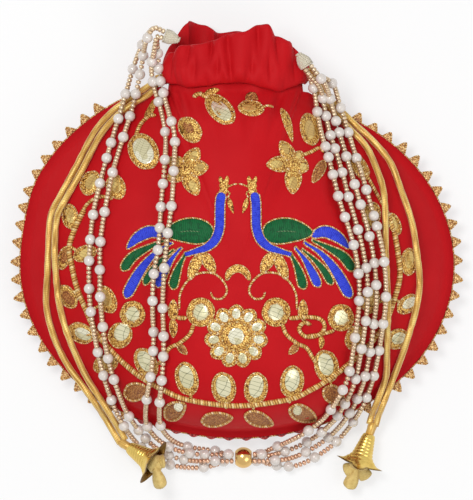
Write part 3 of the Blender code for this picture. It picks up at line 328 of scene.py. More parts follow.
def even(points, spacing=None, count=None, closed=False):
    """Evenly spaced points along a smooth curve through the given ones."""
    vectors = [Vector(point) for point in points]
    total = len(vectors)
    fine = []
    for index in range(total if closed else total - 1):
        start, end = vectors[index], vectors[(index + 1) % total]
        before = vectors[index - 1] if closed or index else start * 2 - end
        after = vectors[(index + 2) % total] if closed or index + 2 < total else end * 2 - start
        for step in range(CURVE_STEPS):
            t = step / CURVE_STEPS
            fine.append(0.5 * (2 * start + (end - before) * t
                               + (2 * before - 5 * start + 4 * end - after) * t * t
                               + (3 * start - before - 3 * end + after) * t ** 3))
    fine.append(vectors[0].copy() if closed else vectors[-1].copy())
    lengths = [0.0]
    for one, two in zip(fine, fine[1:]):
        lengths.append(lengths[-1] + (two - one).length)
    parts = count or max(int(round(lengths[-1] / spacing)), 2)
    result, place = [], 0
    for step in range(parts + 1):
        wanted = lengths[-1] * step / parts
        while place < len(lengths) - 2 and lengths[place + 1] < wanted:
            place += 1
        share = (wanted - lengths[place]) / max(lengths[place + 1] - lengths[place], 1e-9)
        result.append(fine[place].lerp(fine[place + 1], share))
    return result


def smooth_step(value):
    """Rises softly from 0 to 1, and stays there."""
    value = min(max(value, 0.0), 1.0)
    return value * value * (3.0 - 2.0 * value)


print("a curve over a unit corner:", round(length_of(even([(0, 0), (1, 0), (1, 1)], count=8)), 3))

# %% [markdown]
# ## A bench for making pieces
# Most pieces here are joined from small soft forms: sewn cords, padded petals, beads. `Bench` keeps
# one bmesh for a piece, grows a closed ring of edges along a line, and remembers for each vertex how
# far along and around the form it lies, so that thread patterns can follow the form.

# %% The bench


class Bench:
    """One piece in the making."""

    def __init__(self, name):
        self.name, self.bm, self.materials = name, bmesh.new(), []
        self.along = self.bm.verts.layers.float.new("along")
        self.around = self.bm.verts.layers.float.new("around")
        self.tone = self.bm.verts.layers.float.new("tone")

    def mark(self, verts, along, tone):
        for index, vert in enumerate(verts):
            vert[self.along] = along[index] if isinstance(along, list) else along
            vert[self.around] = index / len(verts)
            vert[self.tone] = tone

    def ring(self, points, along=0.0, tone=0.0):
        """A closed ring of edges."""
        verts = [self.bm.verts.new(point) for point in points]
        self.mark(verts, along, tone)
        return verts, [self.bm.edges.new((one, two)) for one, two in zip(verts, verts[1:] + verts[:1])]

    def grow(self, ring, points, along=0.0, tone=0.0):
        """Extrude a ring of edges and lay the new ring on the given points."""
        verts, edges = ring
        grown = bmesh.ops.extrude_edge_only(self.bm, edges=edges)["geom"]
        fresh = {item for item in grown if isinstance(item, bmesh.types.BMVert)}
        new = [next(edge.other_vert(vert) for edge in vert.link_edges if edge.other_vert(vert) in fresh)
               for vert in verts]
        for vert, point in zip(new, points):
            vert.co = point
        self.mark(new, along, tone)
        return new, [self.bm.edges.get((one, two)) for one, two in zip(new, new[1:] + new[:1])]

    def paint(self, verts, material):
        """Give a material to every face round these vertices, and turn the faces outwards."""
        if material not in self.materials:
            self.materials.append(material)
        index = self.materials.index(material)
        faces = list({face for vert in verts for face in vert.link_faces})
        for face in faces:
            face.material_index = index
            face.smooth = True
        bmesh.ops.recalc_face_normals(self.bm, faces=faces)

    def rings(self, rows, material, alongs=None, tone=0.0, closed=False, caps=True):
        """A form lofted through rows of points."""
        first = ring = self.ring(rows[0], alongs[0] if alongs else 0.0, tone)
        verts = list(ring[0])
        for index, row in enumerate(rows[1:], 1):
            ring = self.grow(ring, row, alongs[index] if alongs else 0.0, tone)
            verts += ring[0]
        if closed:
            bmesh.ops.bridge_loops(self.bm, edges=first[1] + ring[1])
        elif caps:
            bmesh.ops.contextual_create(self.bm, geom=first[1])
            bmesh.ops.contextual_create(self.bm, geom=ring[1])
        self.paint(verts, material)
        return verts

    def sweep(self, points, radius, material, sides=6, flat=1.0, taper=False):
        """A round or flattened cord along a line."""
        points = [Vector(point) for point in points]
        rows, alongs, length = [], [], 0.0
        for index, point in enumerate(points):
            run = points[min(index + 1, len(points) - 1)] - points[max(index - 1, 0)]
            run = run.normalized() if run.length > 1e-9 else Vector((1, 0, 0))
            side = run.cross(UP)
            side = side.normalized() if side.length > 1e-3 else Vector((1, 0, 0))
            over = side.cross(run)
            if index:
                length += (point - points[index - 1]).length
            size = radius(index / (len(points) - 1)) if callable(radius) else radius
            if taper and index in (0, len(points) - 1):
                size *= 0.45
            rows.append([point + side * (size * sin(2 * pi * step / sides))
                         - over * (size * flat * cos(2 * pi * step / sides)) for step in range(sides)])
            alongs.append(length)
        return self.rings(rows, material, alongs)

    def finish(self, replaces=(), sharp=None):
        """Make the object, seat it on its body and hide the CAD parts that it replaces."""
        mesh = bpy.data.meshes.new(self.name)
        self.bm.to_mesh(mesh)
        self.bm.free()
        for material in self.materials:
            mesh.materials.append(material)
        if sharp:
            mesh.set_sharp_from_angle(angle=radians(sharp))
        made = bpy.data.objects.new(self.name, mesh)
        bpy.context.collection.objects.link(made)
        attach(made, "root")
        if replaces:
            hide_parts(*replaces)
        print(self.name, "faces:", len(mesh.polygons))
        return made


print("thread patterns read:", "along, around, tone")

# %% [markdown]
# ## Rays on finished pieces
# Needlework lies on the cloth, and cords lie on both. Rays dropped on the finished pieces say how
# high they stand at a place.

# %% Rays
RAY_START = 0.2


def surface(made):
    """The finished surface of a piece, ready for rays."""
    bpy.context.view_layer.update()
    bm = bmesh.new()
    bm.from_object(made, bpy.context.evaluated_depsgraph_get())
    tree = BVHTree.FromBMesh(bm)
    bm.free()
    return tree


def top_of(trees, x, y):
    """The highest point of some surfaces above a place on the table."""
    best = 0.0
    for tree in trees:
        hit = tree.ray_cast(Vector((x, y, RAY_START)), -UP)[0]
        if hit is not None:
            best = max(best, hit.z)
    return best


print("height of the bare table:", top_of([], 0.0, 0.0))

# %% [markdown]
# ## The pouch
# The pouch is two cloth panels sewn together at a lace edging and gathered to a small neck. Each is
# lofted from its sewn edge to its middle, ring by ring. The columns of that loft fan out from the
# neck, so gathers that follow the columns radiate from the neck as real ones do.

# %% Panel outlines
HALF_WIDTH = 0.1085
HALF_HEIGHT = 0.0865
SEAM_HEIGHT = 0.0105
BELLY_HEIGHT = 0.060
CLOTH = 0.0012
SEAM_ALLOWANCE = 0.0030
SHOULDER_CLIMB = 0.017
LEFT_SHOULDER_LIFT = 0.0095
FOOT_FLAT = 0.55
SEAT_GAP = 0.0003
LACE_THICKNESS = 0.0010
NECK_X, NECK_TOP, NECK_Z = -0.00075, 0.0914, 0.0240
NECK_HALF_WIDTH, NECK_HALF_DEPTH = 0.0330, 0.0150
COLLAR, BAND_OVERLAP = 0.0040, 0.0033
MIDDLE = Vector((0.0, -0.002, 0.0))


def ellipse_seam(turn):
    x, y = HALF_WIDTH * cos(radians(turn)), HALF_HEIGHT * sin(radians(turn))
    return Vector((x, y + LEFT_SHOULDER_LIFT * smooth_step((-182 - turn) / 20)))


def seam_outline(spacing):
    """The seam from the right side of the neck, round the foot, to the left side."""
    shoulder = NECK_TOP - BAND_OVERLAP
    right_side, left_side = NECK_X + NECK_HALF_WIDTH, NECK_X - NECK_HALF_WIDTH
    right = [(right_side + 0.8 * MM, shoulder - 1.4 * MM), (right_side + 5 * MM, shoulder - 2.6 * MM)]
    left = [(left_side - 5 * MM, shoulder + 1.0 * MM), (left_side - 0.8 * MM, shoulder - 1.4 * MM)]
    return even(right + [tuple(ellipse_seam(turn)) for turn in range(60, -241, -10)] + left, spacing)


def seam_rise(point):
    climb = 1.0 - smooth_step((abs(point.x - NECK_X) - NECK_HALF_WIDTH - 1.0 * MM) / SHOULDER_CLIMB)
    return SEAM_HEIGHT + (NECK_Z - SEAM_HEIGHT) * (climb if point.y >= 0 else 0.0)


def inward(points, index):
    along = (points[min(index + 1, len(points) - 1)] - points[max(index - 1, 0)]).normalized()
    return Vector((along.y, -along.x))


print("seam length:", round(length_of(seam_outline(0.0032)), 4))

# %% [markdown]
# ## The rim of a panel
# The rim runs half round the oval neck and then along the seam. The first ring inside it has the
# same heights: a short collar under the band, and the allowance that is sewn flat at the seam.
# With both drawn first, the cloth starts to swell only where the stitching ends.

# %% Panel rim


def neck_point(turn, outward=0.0):
    angle = radians(turn)
    normal = Vector((cos(angle) / NECK_HALF_WIDTH, sin(angle) / NECK_HALF_DEPTH)).normalized()
    return Vector((NECK_X + NECK_HALF_WIDTH * cos(angle) + normal.x * outward,
                   NECK_Z + NECK_HALF_DEPTH * sin(angle) + normal.y * outward))


def panel_rim(side, neck_steps, spacing):
    """Outer edge and first inner ring of a panel; side is 1 for the front, -1 for the back."""
    edge, inner = [], []
    split = SEAT_GAP + LACE_THICKNESS / 2
    first = degrees(asin((split + CLOTH) / (NECK_HALF_DEPTH + CLOTH / 2)))
    for step in range(neck_steps + 1):
        turn = first + (180.0 - 2 * first) * step / neck_steps
        place = neck_point(side * (180.0 - turn), CLOTH / 2)
        edge.append(Vector((place.x, NECK_TOP, place.y)))
        inner.append(Vector((place.x, NECK_TOP - COLLAR, place.y)))
    seam = seam_outline(spacing)
    for index, point in enumerate(seam):
        away = abs(point.x - NECK_X) - NECK_HALF_WIDTH if point.y > 0 else 1.0
        width = SEAM_ALLOWANCE * (0.5 + 0.5 * smooth_step(away / 0.016))
        rise = seam_rise(point) + side * (split + CLOTH)
        edge.append(Vector((point.x, point.y, rise)))
        moved = point + inward(seam, index) * width
        inner.append(Vector((moved.x, moved.y, rise)))
    return edge, inner


print("points on a rim:", len(panel_rim(1, 84, 0.0032)[0]))

# %% [markdown]
# ## The shape of the front
# The front is pushed out by what the bag holds, with two long pleats beside its middle, gathers
# below the neck that die out towards the peacocks, and a few slow dents where the cloth is slack.

# %% Front shape
GATHERS = ((6.0, pi / 2, 0.0010), (4.5, 0.9, 0.0009), (11.0, 2.4, 0.0005))   # waves, shift, depth
PLEAT_DEPTH, DENT_DEPTH = 0.0052, 0.0013


def front_height(start_z, share, direction):
    foot = smooth_step((-sin(direction) - 0.60) / 0.36)
    neck = smooth_step((sin(direction) - 0.80) / 0.12)
    power = 2.0 + 1.3 * foot + 0.1 * neck
    root = 1.15 + 0.75 * foot - 0.15 * neck
    return start_z + (BELLY_HEIGHT - start_z) * max(1.0 - share ** power, 0.0) ** (1.0 / root)


def front_relief(x, y):
    """The two long pleats, and slow dents in the slack cloth."""
    left = smooth_step((x + 0.0395) / 0.005)
    right_line = 0.044 + 0.012 * smooth_step((0.045 - y) / 0.05)
    right = smooth_step((right_line + 0.0035 - x) / 0.005)
    length = smooth_step((y + 0.035) / 0.07) * smooth_step((0.084 - y) / 0.012)
    edge = smooth_step((0.9 - hypot(x / HALF_WIDTH, y / HALF_HEIGHT)) / 0.25)
    dents = noise.noise(Vector((x * 34 + 3, y * 20, 1.7)))
    dents += 0.5 * noise.noise(Vector((x * 75, y * 60, 5.1)))
    return PLEAT_DEPTH * left * right * length + DENT_DEPTH * dents * edge


def gathers(share, place):
    """Folds below the neck, at a share of the way to the edge and a place along the neck."""
    fade = exp(-((0.95 - share) / 0.15) ** 2) * smooth_step(place / 0.08) * smooth_step((1 - place) / 0.08)
    return fade * sum(depth * sin(2 * pi * waves * place + shift) for waves, shift, depth in GATHERS)


print("height of the belly:", BELLY_HEIGHT, "with its pleats", round(BELLY_HEIGHT + front_relief(0, 0), 4))

# %% [markdown]
# ## The two panels
# Each panel is lofted inwards ring by ring and closed with a fan at its middle. The back lies flat
# on the table inside its rolled edge. A cloth simulation could drape them, but it would need many
# tries to land on the photographed folds. A Solidify modifier gives both the thickness of cloth.

# %% Panels


def panel(name, side, neck_steps, spacing, shares, material):
    edge, inner = panel_rim(side, neck_steps, spacing)
    rows = [edge, inner]
    for share in shares:
        row = []
        for index, start in enumerate(inner):
            x = MIDDLE.x + (start.x - MIDDLE.x) * share
            y = MIDDLE.y + (start.y - MIDDLE.y) * share
            if side > 0:
                z = front_height(start.z, share, atan2(start.y - MIDDLE.y, start.x - MIDDLE.x))
                z += front_relief(x, y)
                if index <= neck_steps:
                    z += gathers(share, index / neck_steps)
            else:
                roll = max(share - FOOT_FLAT, 0.0) / (1.0 - FOOT_FLAT)
                z = start.z * roll ** 2.1
            row.append(Vector((x, y, z)))
        rows.append(row)
    bench = Bench(name)
    verts = bench.rings(rows, material, caps=False)
    last = verts[-len(edge):]
    loop = [line for line in bench.bm.edges if line.is_boundary and line.verts[0] in last]
    cap = bmesh.ops.contextual_create(bench.bm, geom=loop)["faces"]
    middle = bmesh.ops.poke(bench.bm, faces=cap)["verts"]
    for vert in middle:
        vert.co = (MIDDLE.x, MIDDLE.y, BELLY_HEIGHT + front_relief(0.0, MIDDLE.y) if side > 0 else 0.0)
    bmesh.ops.recalc_face_normals(bench.bm, faces=bench.bm.faces)
    top = max(bench.bm.faces, key=lambda face: face.calc_center_median().z * side)
    if top.normal.z * side < 0:
        bmesh.ops.reverse_faces(bench.bm, faces=bench.bm.faces)
    for face in bench.bm.faces:
        face.smooth = True
    made = bench.finish([name.replace("_cloth", "_panel")])
    wall = made.modifiers.new("cloth_wall", "SOLIDIFY")
    wall.thickness = CLOTH
    wall.offset = -1.0
    wall.use_even_offset = True
    return made


front_shares = [0.975 - 0.955 * (step / 37) ** 0.92 for step in range(38)]
front_cloth = panel("front_cloth", 1, neck_steps=84, spacing=0.0032, shares=front_shares, material=SILK)
back_shares = [0.95 - (0.95 - FOOT_FLAT) * step / 10 for step in range(11)] + [0.4, 0.2]
back_cloth = panel("back_cloth", -1, neck_steps=48, spacing=0.0042, shares=back_shares, material=SILK)
front_top = surface(front_cloth)

# %% [markdown]
# ## Neck band and frill
# One folded strip holds both panels between its legs. A channel inside it carries the drawcords,
# and above the channel the cloth stands up as a frill. Real gathers are round puffs with a sharp
# crease between two of them, so the wave round the neck is drawn from crease to crease.

# %% Frill shape
CORD_DIAMETER = 0.0026
CASING_GAP = 0.0003
BAND_CLOTH, PINCH = 0.0010, 0.0010
FRILL_WAVE = 0.0036
CASING_FOOT = NECK_TOP
CHANNEL_HALF = CLOTH / 2 + SEAT_GAP + 0.0010
LOWER_CORD = CASING_FOOT + 0.0009 + CASING_GAP + CORD_DIAMETER / 2
UPPER_CORD = LOWER_CORD + CORD_DIAMETER + CASING_GAP
CHANNEL_TOP = UPPER_CORD + CORD_DIAMETER / 2 + CASING_GAP
FRILL_TOP = ((0, 104.0), (18, 106.5), (38, 112.5), (52, 115.0), (62, 121.0), (70, 120.5), (84, 117.0),
             (96, 116.0), (108, 113.0), (122, 111.0), (142, 110.5), (160, 107.0), (180, 106.0),
             (204, 113.0), (226, 123.0), (242, 121.0), (256, 117.0), (272, 118.0), (292, 114.0),
             (314, 112.0), (338, 107.0), (360, 104.0))
CREASES = (6, 30, 52, 70, 97, 111, 134, 157, 176, 200, 222, 250, 268, 292, 316, 340, 366)


def frill_top(turn):
    for (start, low), (end, high) in zip(FRILL_TOP, FRILL_TOP[1:]):
        if start <= turn % 360 <= end:
            return MM * (low + (high - low) * smooth_step((turn % 360 - start) / (end - start)))
    return MM * FRILL_TOP[0][1]


def puff(turn, pinch=0.0):
    """Round puffs of cloth with a sharp crease between them: 0 in a crease, 1 on a puff.

    Pinch draws the creases of the front together, as the drawcord does at the middle.
    """
    turn = turn % 360
    turn += pinch * (turn - 90) * exp(-((turn - 90) / 42) ** 2)
    turn += 360 if turn < CREASES[0] else 0
    for start, end in zip(CREASES, CREASES[1:]):
        if start <= turn <= end:
            return sin(pi * (turn - start) / (end - start)) ** 0.65
    return 0.0


def sag(turn):
    """How far the lower edge of the band hangs down on the two big front puffs."""
    return MM * (4.2 * exp(-((turn - 52) / 19) ** 2) + 2.2 * exp(-((turn - 128) / 19) ** 2)
                 - 1.0 * exp(-((turn - 90) / 9) ** 2))


print("frill puffs:", len(CREASES) - 1, "highest at", max(high for turn, high in FRILL_TOP), "mm")

# %% [markdown]
# ## The folded strip
# The strip is drawn in one radial plane, from its front foot over the frill to its back foot and
# along the channel inside. That section is then lofted all the way round the neck.

# %% Neck band
SECTION_TURN = 1.5                   # degrees between two sections


def band_section(turn):
    """The folded strip in one radial plane, as (distance out of the oval, Y)."""
    slot = CLOTH / 2 + SEAT_GAP + 0.0003
    legs = slot + BAND_CLOTH
    wide = CHANNEL_HALF + BAND_CLOTH
    pinch = CHANNEL_TOP + BAND_CLOTH + 0.0012
    top = frill_top(turn)
    around = radians(turn)
    wave = FRILL_WAVE * (0.35 + 0.65 * sin(around) ** 2) * (1.7 * puff(turn) - 0.85)
    fine = 0.00016 * sin(43 * around + 2 * sin(5 * around))
    deep = 0.0050 * (0.3 + 0.7 * abs(sin(around)))
    roll, low_roll = deep * puff(turn, 0.5) + fine, deep * puff(turn, 1.1) + fine
    middle = pinch + 0.45 * (top - pinch)
    shoulder = top - 2.2 * PINCH
    foot = CASING_FOOT - 0.0014 + 0.0006 * puff(turn)
    lip = foot - sag(turn)
    return [
        (legs + 0.15 * low_roll, lip), (wide + 0.75 * low_roll, lip + 0.0020),
        (wide + roll, CHANNEL_TOP - 0.0012), (0.8 * wide + 0.7 * roll + 0.15 * wave, pinch),
        (2.4 * PINCH + 0.8 * wave, middle), (1.3 * PINCH + wave, shoulder), (wave, top),
        (-1.3 * PINCH + wave, shoulder), (-1.1 * PINCH + 0.8 * wave, middle),
        (-PINCH + 0.15 * wave, pinch), (-wide - 0.0002, CHANNEL_TOP - 0.0004),
        (-wide, CASING_FOOT + 0.0012), (-legs, foot), (-slot, foot), (-slot, CASING_FOOT + SEAT_GAP),
        (-CHANNEL_HALF, CASING_FOOT + 0.0009), (-CHANNEL_HALF, CHANNEL_TOP), (CHANNEL_HALF, CHANNEL_TOP),
        (CHANNEL_HALF, CASING_FOOT + 0.0009), (slot, CASING_FOOT + SEAT_GAP), (slot, min(foot, lip + 0.0004)),
    ]


def neck_place(turn, outward, height):
    across = neck_point(turn, outward)
    return Vector((across.x, height, across.y))


bench = Bench("neck_frill")
turns = [SECTION_TURN * step for step in range(int(360 / SECTION_TURN))]
sections = [[neck_place(turn, out, height) for out, height in band_section(turn)] for turn in turns]
bench.rings(sections, SILK, closed=True)
neck_frill = bench.finish(["neck_band"])
round_off = neck_frill.modifiers.new("round_off", "SUBSURF")
round_off.levels = round_off.render_levels = 1
frill_surface = surface(neck_frill)

# %% [markdown]
# ## Thread finishes
# Zari is silk wound in thin gold wire. Laid as a cord it shows a twist, and stitched as a filling it
# shows small bright loops with dark gaps. Silk thread is laid in close parallel stitches.

# %% Thread finishes


def twist(name, light, dark, pitch, metallic=0.4, third=None):
    """A twisted cord: a stripe that climbs round it."""
    paint = Paint(name, light, Metallic=metallic, Roughness=0.38)
    turn = paint.attribute("along") * (1.0 / pitch) + paint.attribute("around")
    stripe = paint.wave(turn, 1.0)
    grain = paint.node("ShaderNodeTexNoise", None, {"Vector": paint.place(), "Scale": 700.0, "Detail": 1.0})
    tint = paint.blend(stripe, dark, light)
    if third:
        tint = paint.blend((paint.wave(turn + 0.3, 3.0) > 0.85) * 0.7, tint, third)
    paint.feed(Base_Color=paint.blend((grain > 0.58) * 0.4, tint, dark),
               Roughness=grain * 0.3 + 0.25, Normal=paint.bump(stripe, 0.0004, 0.8))
    return paint.material


def zari(name, light, middle, dark, size=0.0011, metallic=0.65):
    """Stitched loops of gold wire."""
    paint = Paint(name, middle, Metallic=metallic, Roughness=0.35)
    place = paint.place()
    cells = paint.node("ShaderNodeTexVoronoi", None,
                       {"Vector": place, "Scale": 1.0 / size, "Randomness": 0.8})
    worn = paint.node("ShaderNodeTexNoise", None, {"Vector": place, "Scale": 420.0, "Detail": 2.0})
    stops = [(0.0, light), (0.32, light), (0.5, middle), (0.62, middle), (0.82, dark)]
    loops = paint.node("ShaderNodeValToRGB", {"stops": stops}, {0: cells + worn * 0.35 - 0.15})
    paint.feed(Base_Color=loops, Roughness=worn * 0.35 + 0.2, Normal=paint.bump(1.0 - cells, 0.0005, 0.8))
    return paint.material


def satin_stitch(name, light, dark, sheen=0.04):
    """Close parallel stitches laid across a shape."""
    paint = Paint(name, light, Roughness=0.42, Sheen_Weight=sheen, Specular_IOR_Level=0.25)
    stitch = paint.attribute("along") + paint.attribute("around") * 0.0016
    rows = paint.wave(stitch, 0.0009)
    stray = paint.node("ShaderNodeTexNoise", None, {"Vector": paint.place(), "Scale": 500.0, "Detail": 2.0})
    paint.feed(Base_Color=paint.blend(rows * 0.45 + (stray > 0.55) * 0.4, light, dark),
               Roughness=stray * 0.3 + 0.3, Normal=paint.bump(rows, 0.0004, 0.7))
    return paint.material


GOLD_ROPE = twist("zari_rope", colour(234, 190, 104), colour(158, 98, 40), 0.0013,
                  third=colour(252, 232, 170))
EDGE_ROPE = twist("zari_edge", colour(240, 200, 118), colour(166, 98, 44), 0.0012,
                  third=colour(255, 240, 200))
GOLD_LOOPS = zari("zari_loops", colour(246, 212, 122), colour(196, 142, 62), colour(96, 48, 16), 0.0009, 0.5)
LACE_LOOPS = zari("zari_lace", colour(232, 196, 132), colour(186, 138, 82), colour(120, 72, 42), 0.0010, 0.4)
BROWN_FILL = zari("zari_brown", colour(206, 148, 80), colour(156, 92, 42), colour(116, 60, 26), 0.0008, 0.4)
# A dark red copy of the lace finish: painted shade for the teeth under the bag's foot.
FOOT_TOOTH_PAINTED_SHADE = zari("tucked_teeth_painted_shade", colour(205, 90, 80), colour(160, 42, 44), colour(96, 18, 24), 0.0012, 0.1)
BLUE_STITCH = satin_stitch("blue_stitch", colour(58, 78, 232), colour(30, 42, 186))
GREEN_STITCH = satin_stitch("green_stitch", colour(0, 104, 52), colour(0, 62, 30))
print("materials so far:", len(bpy.data.materials))

# %% [markdown]
# ## Mirror foil
# The mirror pieces are foil. It bends a little, so it catches the light in patches; these are painted into
# its colour as lighter and darker patches of painted reflection, and a slight bump bends its face. It has
# fine cracks that run in two directions. Cracks cut into the mesh would be far finer than the photograph
# shows, so two waves bent by a noise draw them.

# %% Mirror foil


def mirror(name, light, shade, crack, spacing=0.0024):
    """Foil mirror with hairline cracks, a slightly wavy face and patches of painted reflection."""
    paint = Paint(name, light, Metallic=0.35, Roughness=0.18, Coat_Weight=0.3)
    place = paint.place()
    bent = paint.node("ShaderNodeTexNoise", None, {"Vector": place, "Scale": 90.0, "Detail": 1.0})
    x, y = across_cloth(paint, place)
    first = paint.wave(x * 0.35 + y + bent * 0.006, spacing) > 0.965
    second = paint.wave(x - y * 0.6 + bent * 0.009, spacing * 2.3) > 0.985
    # Painted reflection: patches where the bent foil would catch the light, blended into the colour.
    painted_reflection_patches = (bent > 0.53) * 0.5
    paint.feed(Base_Color=paint.blend(first * 0.6 + second * 0.5, paint.blend(painted_reflection_patches, light, shade), crack),
               Roughness=bent * 0.25 + 0.05, Normal=paint.bump(bent, 0.0006, 0.4))
    return paint.material


CREAM_MIRROR = mirror("cream_mirror", colour(232, 226, 188), colour(206, 198, 150), colour(66, 74, 40))
GOLD_MIRROR = mirror("gold_mirror", colour(230, 198, 116), colour(172, 124, 54), colour(96, 60, 20),
                     spacing=0.0015)
STRIPED_MIRROR = mirror("striped_mirror", colour(240, 236, 208), colour(190, 176, 108),
                        colour(90, 80, 34), spacing=0.0013)
print("mirrors:", CREAM_MIRROR.name, GOLD_MIRROR.name, STRIPED_MIRROR.name)

# %% [markdown]
# ## Lace edging
# The lace is a narrow zari braid sewn into the seam, with one pointed tooth for each stitch of the edging.
# Each tooth is a small padded triangle inside a twisted cord. At the foot the bag's weight tucks the teeth
# under, so they are shorter, and they are painted dark red as painted shade under the foot of the bag.

# %% Lace
LACE_START = 0.0110
TOOTH_REACH = 0.0048
TOOTH_PITCH = 0.0089
TUCKED_TOOTH = 0.30
STEPS_PER_TOOTH = 9


def level_seam(spacing):
    """The part of the seam that carries lace, with its outward directions."""
    seam = seam_outline(spacing)
    return [(point, inward(seam, index) * -1.0) for index, point in enumerate(seam)
            if point.y < 0 or abs(point.x - NECK_X) > NECK_HALF_WIDTH + SHOULDER_CLIMB + LACE_START - 0.006]


def flat(point, height):
    return Vector((point.x, point.y, height))


def tooth(bench, point, out, along, reach, material, lean):
    """A padded triangle with rounded corners, and the cord that edges it."""
    root = point - out * 0.0002
    half = TOOTH_PITCH * 0.33
    corners = [(-half, 0.0), (-half * 0.66, reach * 0.42), (-half * 0.24, reach * 0.86), (0.0, reach),
               (half * 0.24, reach * 0.86), (half * 0.66, reach * 0.42), (half, 0.0)]
    edge = [root + along * (u + lean * v) + out * v for u, v in corners]
    middle = root + along * (lean * reach * 0.4) + out * (reach * 0.4)
    rows = []
    for share, z in ((1.0, -0.0004), (1.0, 0.0003), (0.75, 0.0007), (0.35, 0.0009)):
        rows.append([flat(middle.lerp(spot, share), SEAM_HEIGHT + z) for spot in edge])
    bench.rings(rows, material)
    line = even([flat(spot, SEAM_HEIGHT + 0.0004) for spot in edge], 0.0009)
    bench.sweep(line, 0.00050, EDGE_ROPE if material is LACE_LOOPS else material, sides=6, taper=True)


bench = Bench("lace_edging")
seam_line = level_seam(TOOTH_PITCH / STEPS_PER_TOOTH)
braid = [flat(point + out * 0.0001, SEAM_HEIGHT) for point, out in seam_line]
bench.sweep(braid, 0.00055, EDGE_ROPE, sides=8, flat=0.9, taper=True)
tucked_under = [flat(point - out * 0.0017, SEAM_HEIGHT) for point, out in seam_line]
bench.sweep(tucked_under, 0.0013, LACE_LOOPS, sides=6, flat=0.25)
for index in range(6, len(seam_line) - 6, STEPS_PER_TOOTH):
    point, out = seam_line[index]
    foot = smooth_step((-point.y / HALF_HEIGHT - 0.80) / 0.12)
    reach = TOOTH_REACH * (1.0 - (1.0 - TUCKED_TOOTH) * foot)
    lean = 0.35 * noise.noise(Vector((index * 0.7, 1.3, 0.2)))
    reach *= 1.0 + 0.25 * noise.noise(Vector((index * 0.9, 4.1, 2.2)))
    along = Vector((-out.y, out.x))
    # Teeth at the foot take the dark red finish, painted shade under the bag's foot.
    tooth(bench, point, out, along, reach, FOOT_TOOTH_PAINTED_SHADE if foot > 0.5 else LACE_LOOPS, lean)
bench.finish(["edge_lace"])

# %% [markdown]
# ## Embroidery
# Every motif is built of blades: a padded strip that follows a centre line and swells and narrows
# along it. A round mirror, a petal, a feather and a peacock's neck are all blades with another
# outline. A twisted cord is then couched round each, as the embroiderer does it.

# %% Outlines
GROUND = [front_top, frill_surface]


def round_ends(share):
    return sqrt(max(1.0 - (2 * share - 1) ** 2, 0.0))


def petal_shape(share):
    return max(sin(pi * share ** 0.8), 0.0) ** 0.62


def pointed(share):
    return max(sin(pi * share ** 0.75), 0.0) ** 0.9


def feather_shape(share):
    rounded = sqrt(max(1.0 - max((share - 0.86) / 0.14, 0.0) ** 2, 0.0))
    return (0.28 + 0.72 * smooth_step(share / 0.8)) * rounded


def neck_shape(share):
    rounded = sqrt(max(1.0 - max(1 - share / 0.07, 0.0) ** 2, 0.0))
    return (1.0 - 0.55 * smooth_step((share - 0.55) / 0.45)) * rounded


def body_shape(share):
    return max(sin(pi * min(share * 1.03, 1.0) ** 0.72), 0.0) ** 0.62


print("widths half way along:", [round(shape(0.5), 2) for shape in (petal_shape, pointed, feather_shape)])

# %% [markdown]
# ## Blades
# A blade is lofted across its line: seven points over the padding, and one below the cloth that
# closes it. A flat shape with a bevel would look like cut card. Padding under stitches swells
# towards its middle and thins out where the shape is narrow, and the profile follows that.

# %% Blades and edgings
EDGE_SPACING = 0.85 * MM
BLADE_PROFILE = ((0.0, 0.0), (0.04, 0.55), (0.2, 0.85), (0.5, 1.0), (0.8, 0.85), (0.96, 0.55), (1.0, 0.0))


def laid(x, y, lift):
    return Vector((x, y, top_of(GROUND, x, y) + lift))


def centre_line(points, spacing=0.0010):
    flat_points = [Vector((x * MM, y * MM, 0.0)) for x, y in points]
    return even(flat_points, count=max(int(length_of(flat_points) / spacing), 8))


def edge_sides(line, width, shape, grow=0.0):
    """The two outlines of a blade in the plan."""
    right, left = [], []
    for index, point in enumerate(line):
        run = (line[min(index + 1, len(line) - 1)] - line[max(index - 1, 0)]).normalized()
        across = Vector((-run.y, run.x, 0.0)) * (width * MM / 2 * shape(index / (len(line) - 1)) + grow)
        right.append(point + across)
        left.append(point - across)
    return right, left


def blade(bench, points, width, material, height=0.7, shape=petal_shape, base=0.0, edge=None, rope=0.45):
    """A padded strip along a line in millimetres, laid on the cloth, with an optional couched edge."""
    line = centre_line(points)
    right, left = edge_sides(line, width, shape, 0.00008)
    rows, alongs, length = [], [], 0.0
    for index, (one, two) in enumerate(zip(right, left)):
        if index:
            length += (line[index] - line[index - 1]).length
        swell = min(1.0, 0.35 + 1.2 * (one - two).length / (width * MM))
        row = []
        for share, rise in BLADE_PROFILE:
            spot = one.lerp(two, share)
            row.append(laid(spot.x, spot.y, (base + height * rise * swell) * MM))
        middle = one.lerp(two, 0.5)
        row.append(laid(middle.x, middle.y, (base - 0.25) * MM))
        rows.append(row)
        alongs.append(length)
    bench.rings(rows, material, alongs)
    if edge:
        outline = right + left[::-1]
        outline = even([(spot.x, spot.y, 0.0) for spot in outline[::2]], EDGE_SPACING, closed=True)
        outline = [laid(spot.x, spot.y, (base + rope * 0.8) * MM) for spot in outline]
        bench.sweep(outline + outline[1:2], rope * MM, edge, sides=5)


print("points across a blade:", len(BLADE_PROFILE) + 1, "laid on", len(GROUND), "surfaces")

# %% [markdown]
# ## Discs, stems and leaves
# The motifs share three forms: a round disc, a couched stem, and a leaf whose mirror is held in a
# padded ring of gold loops. All three lie on the draped cloth point by point, so they bend with it
# and no motif floats over a pleat.

# %% Discs, stems and leaves
FINE_EDGE = {"edge": EDGE_ROPE, "rope": 0.35}


def disc(bench, x, y, size, material, **options):
    blade(bench, [(x - size / 2, y), (x, y), (x + size / 2, y)], size, material, shape=round_ends, **options)


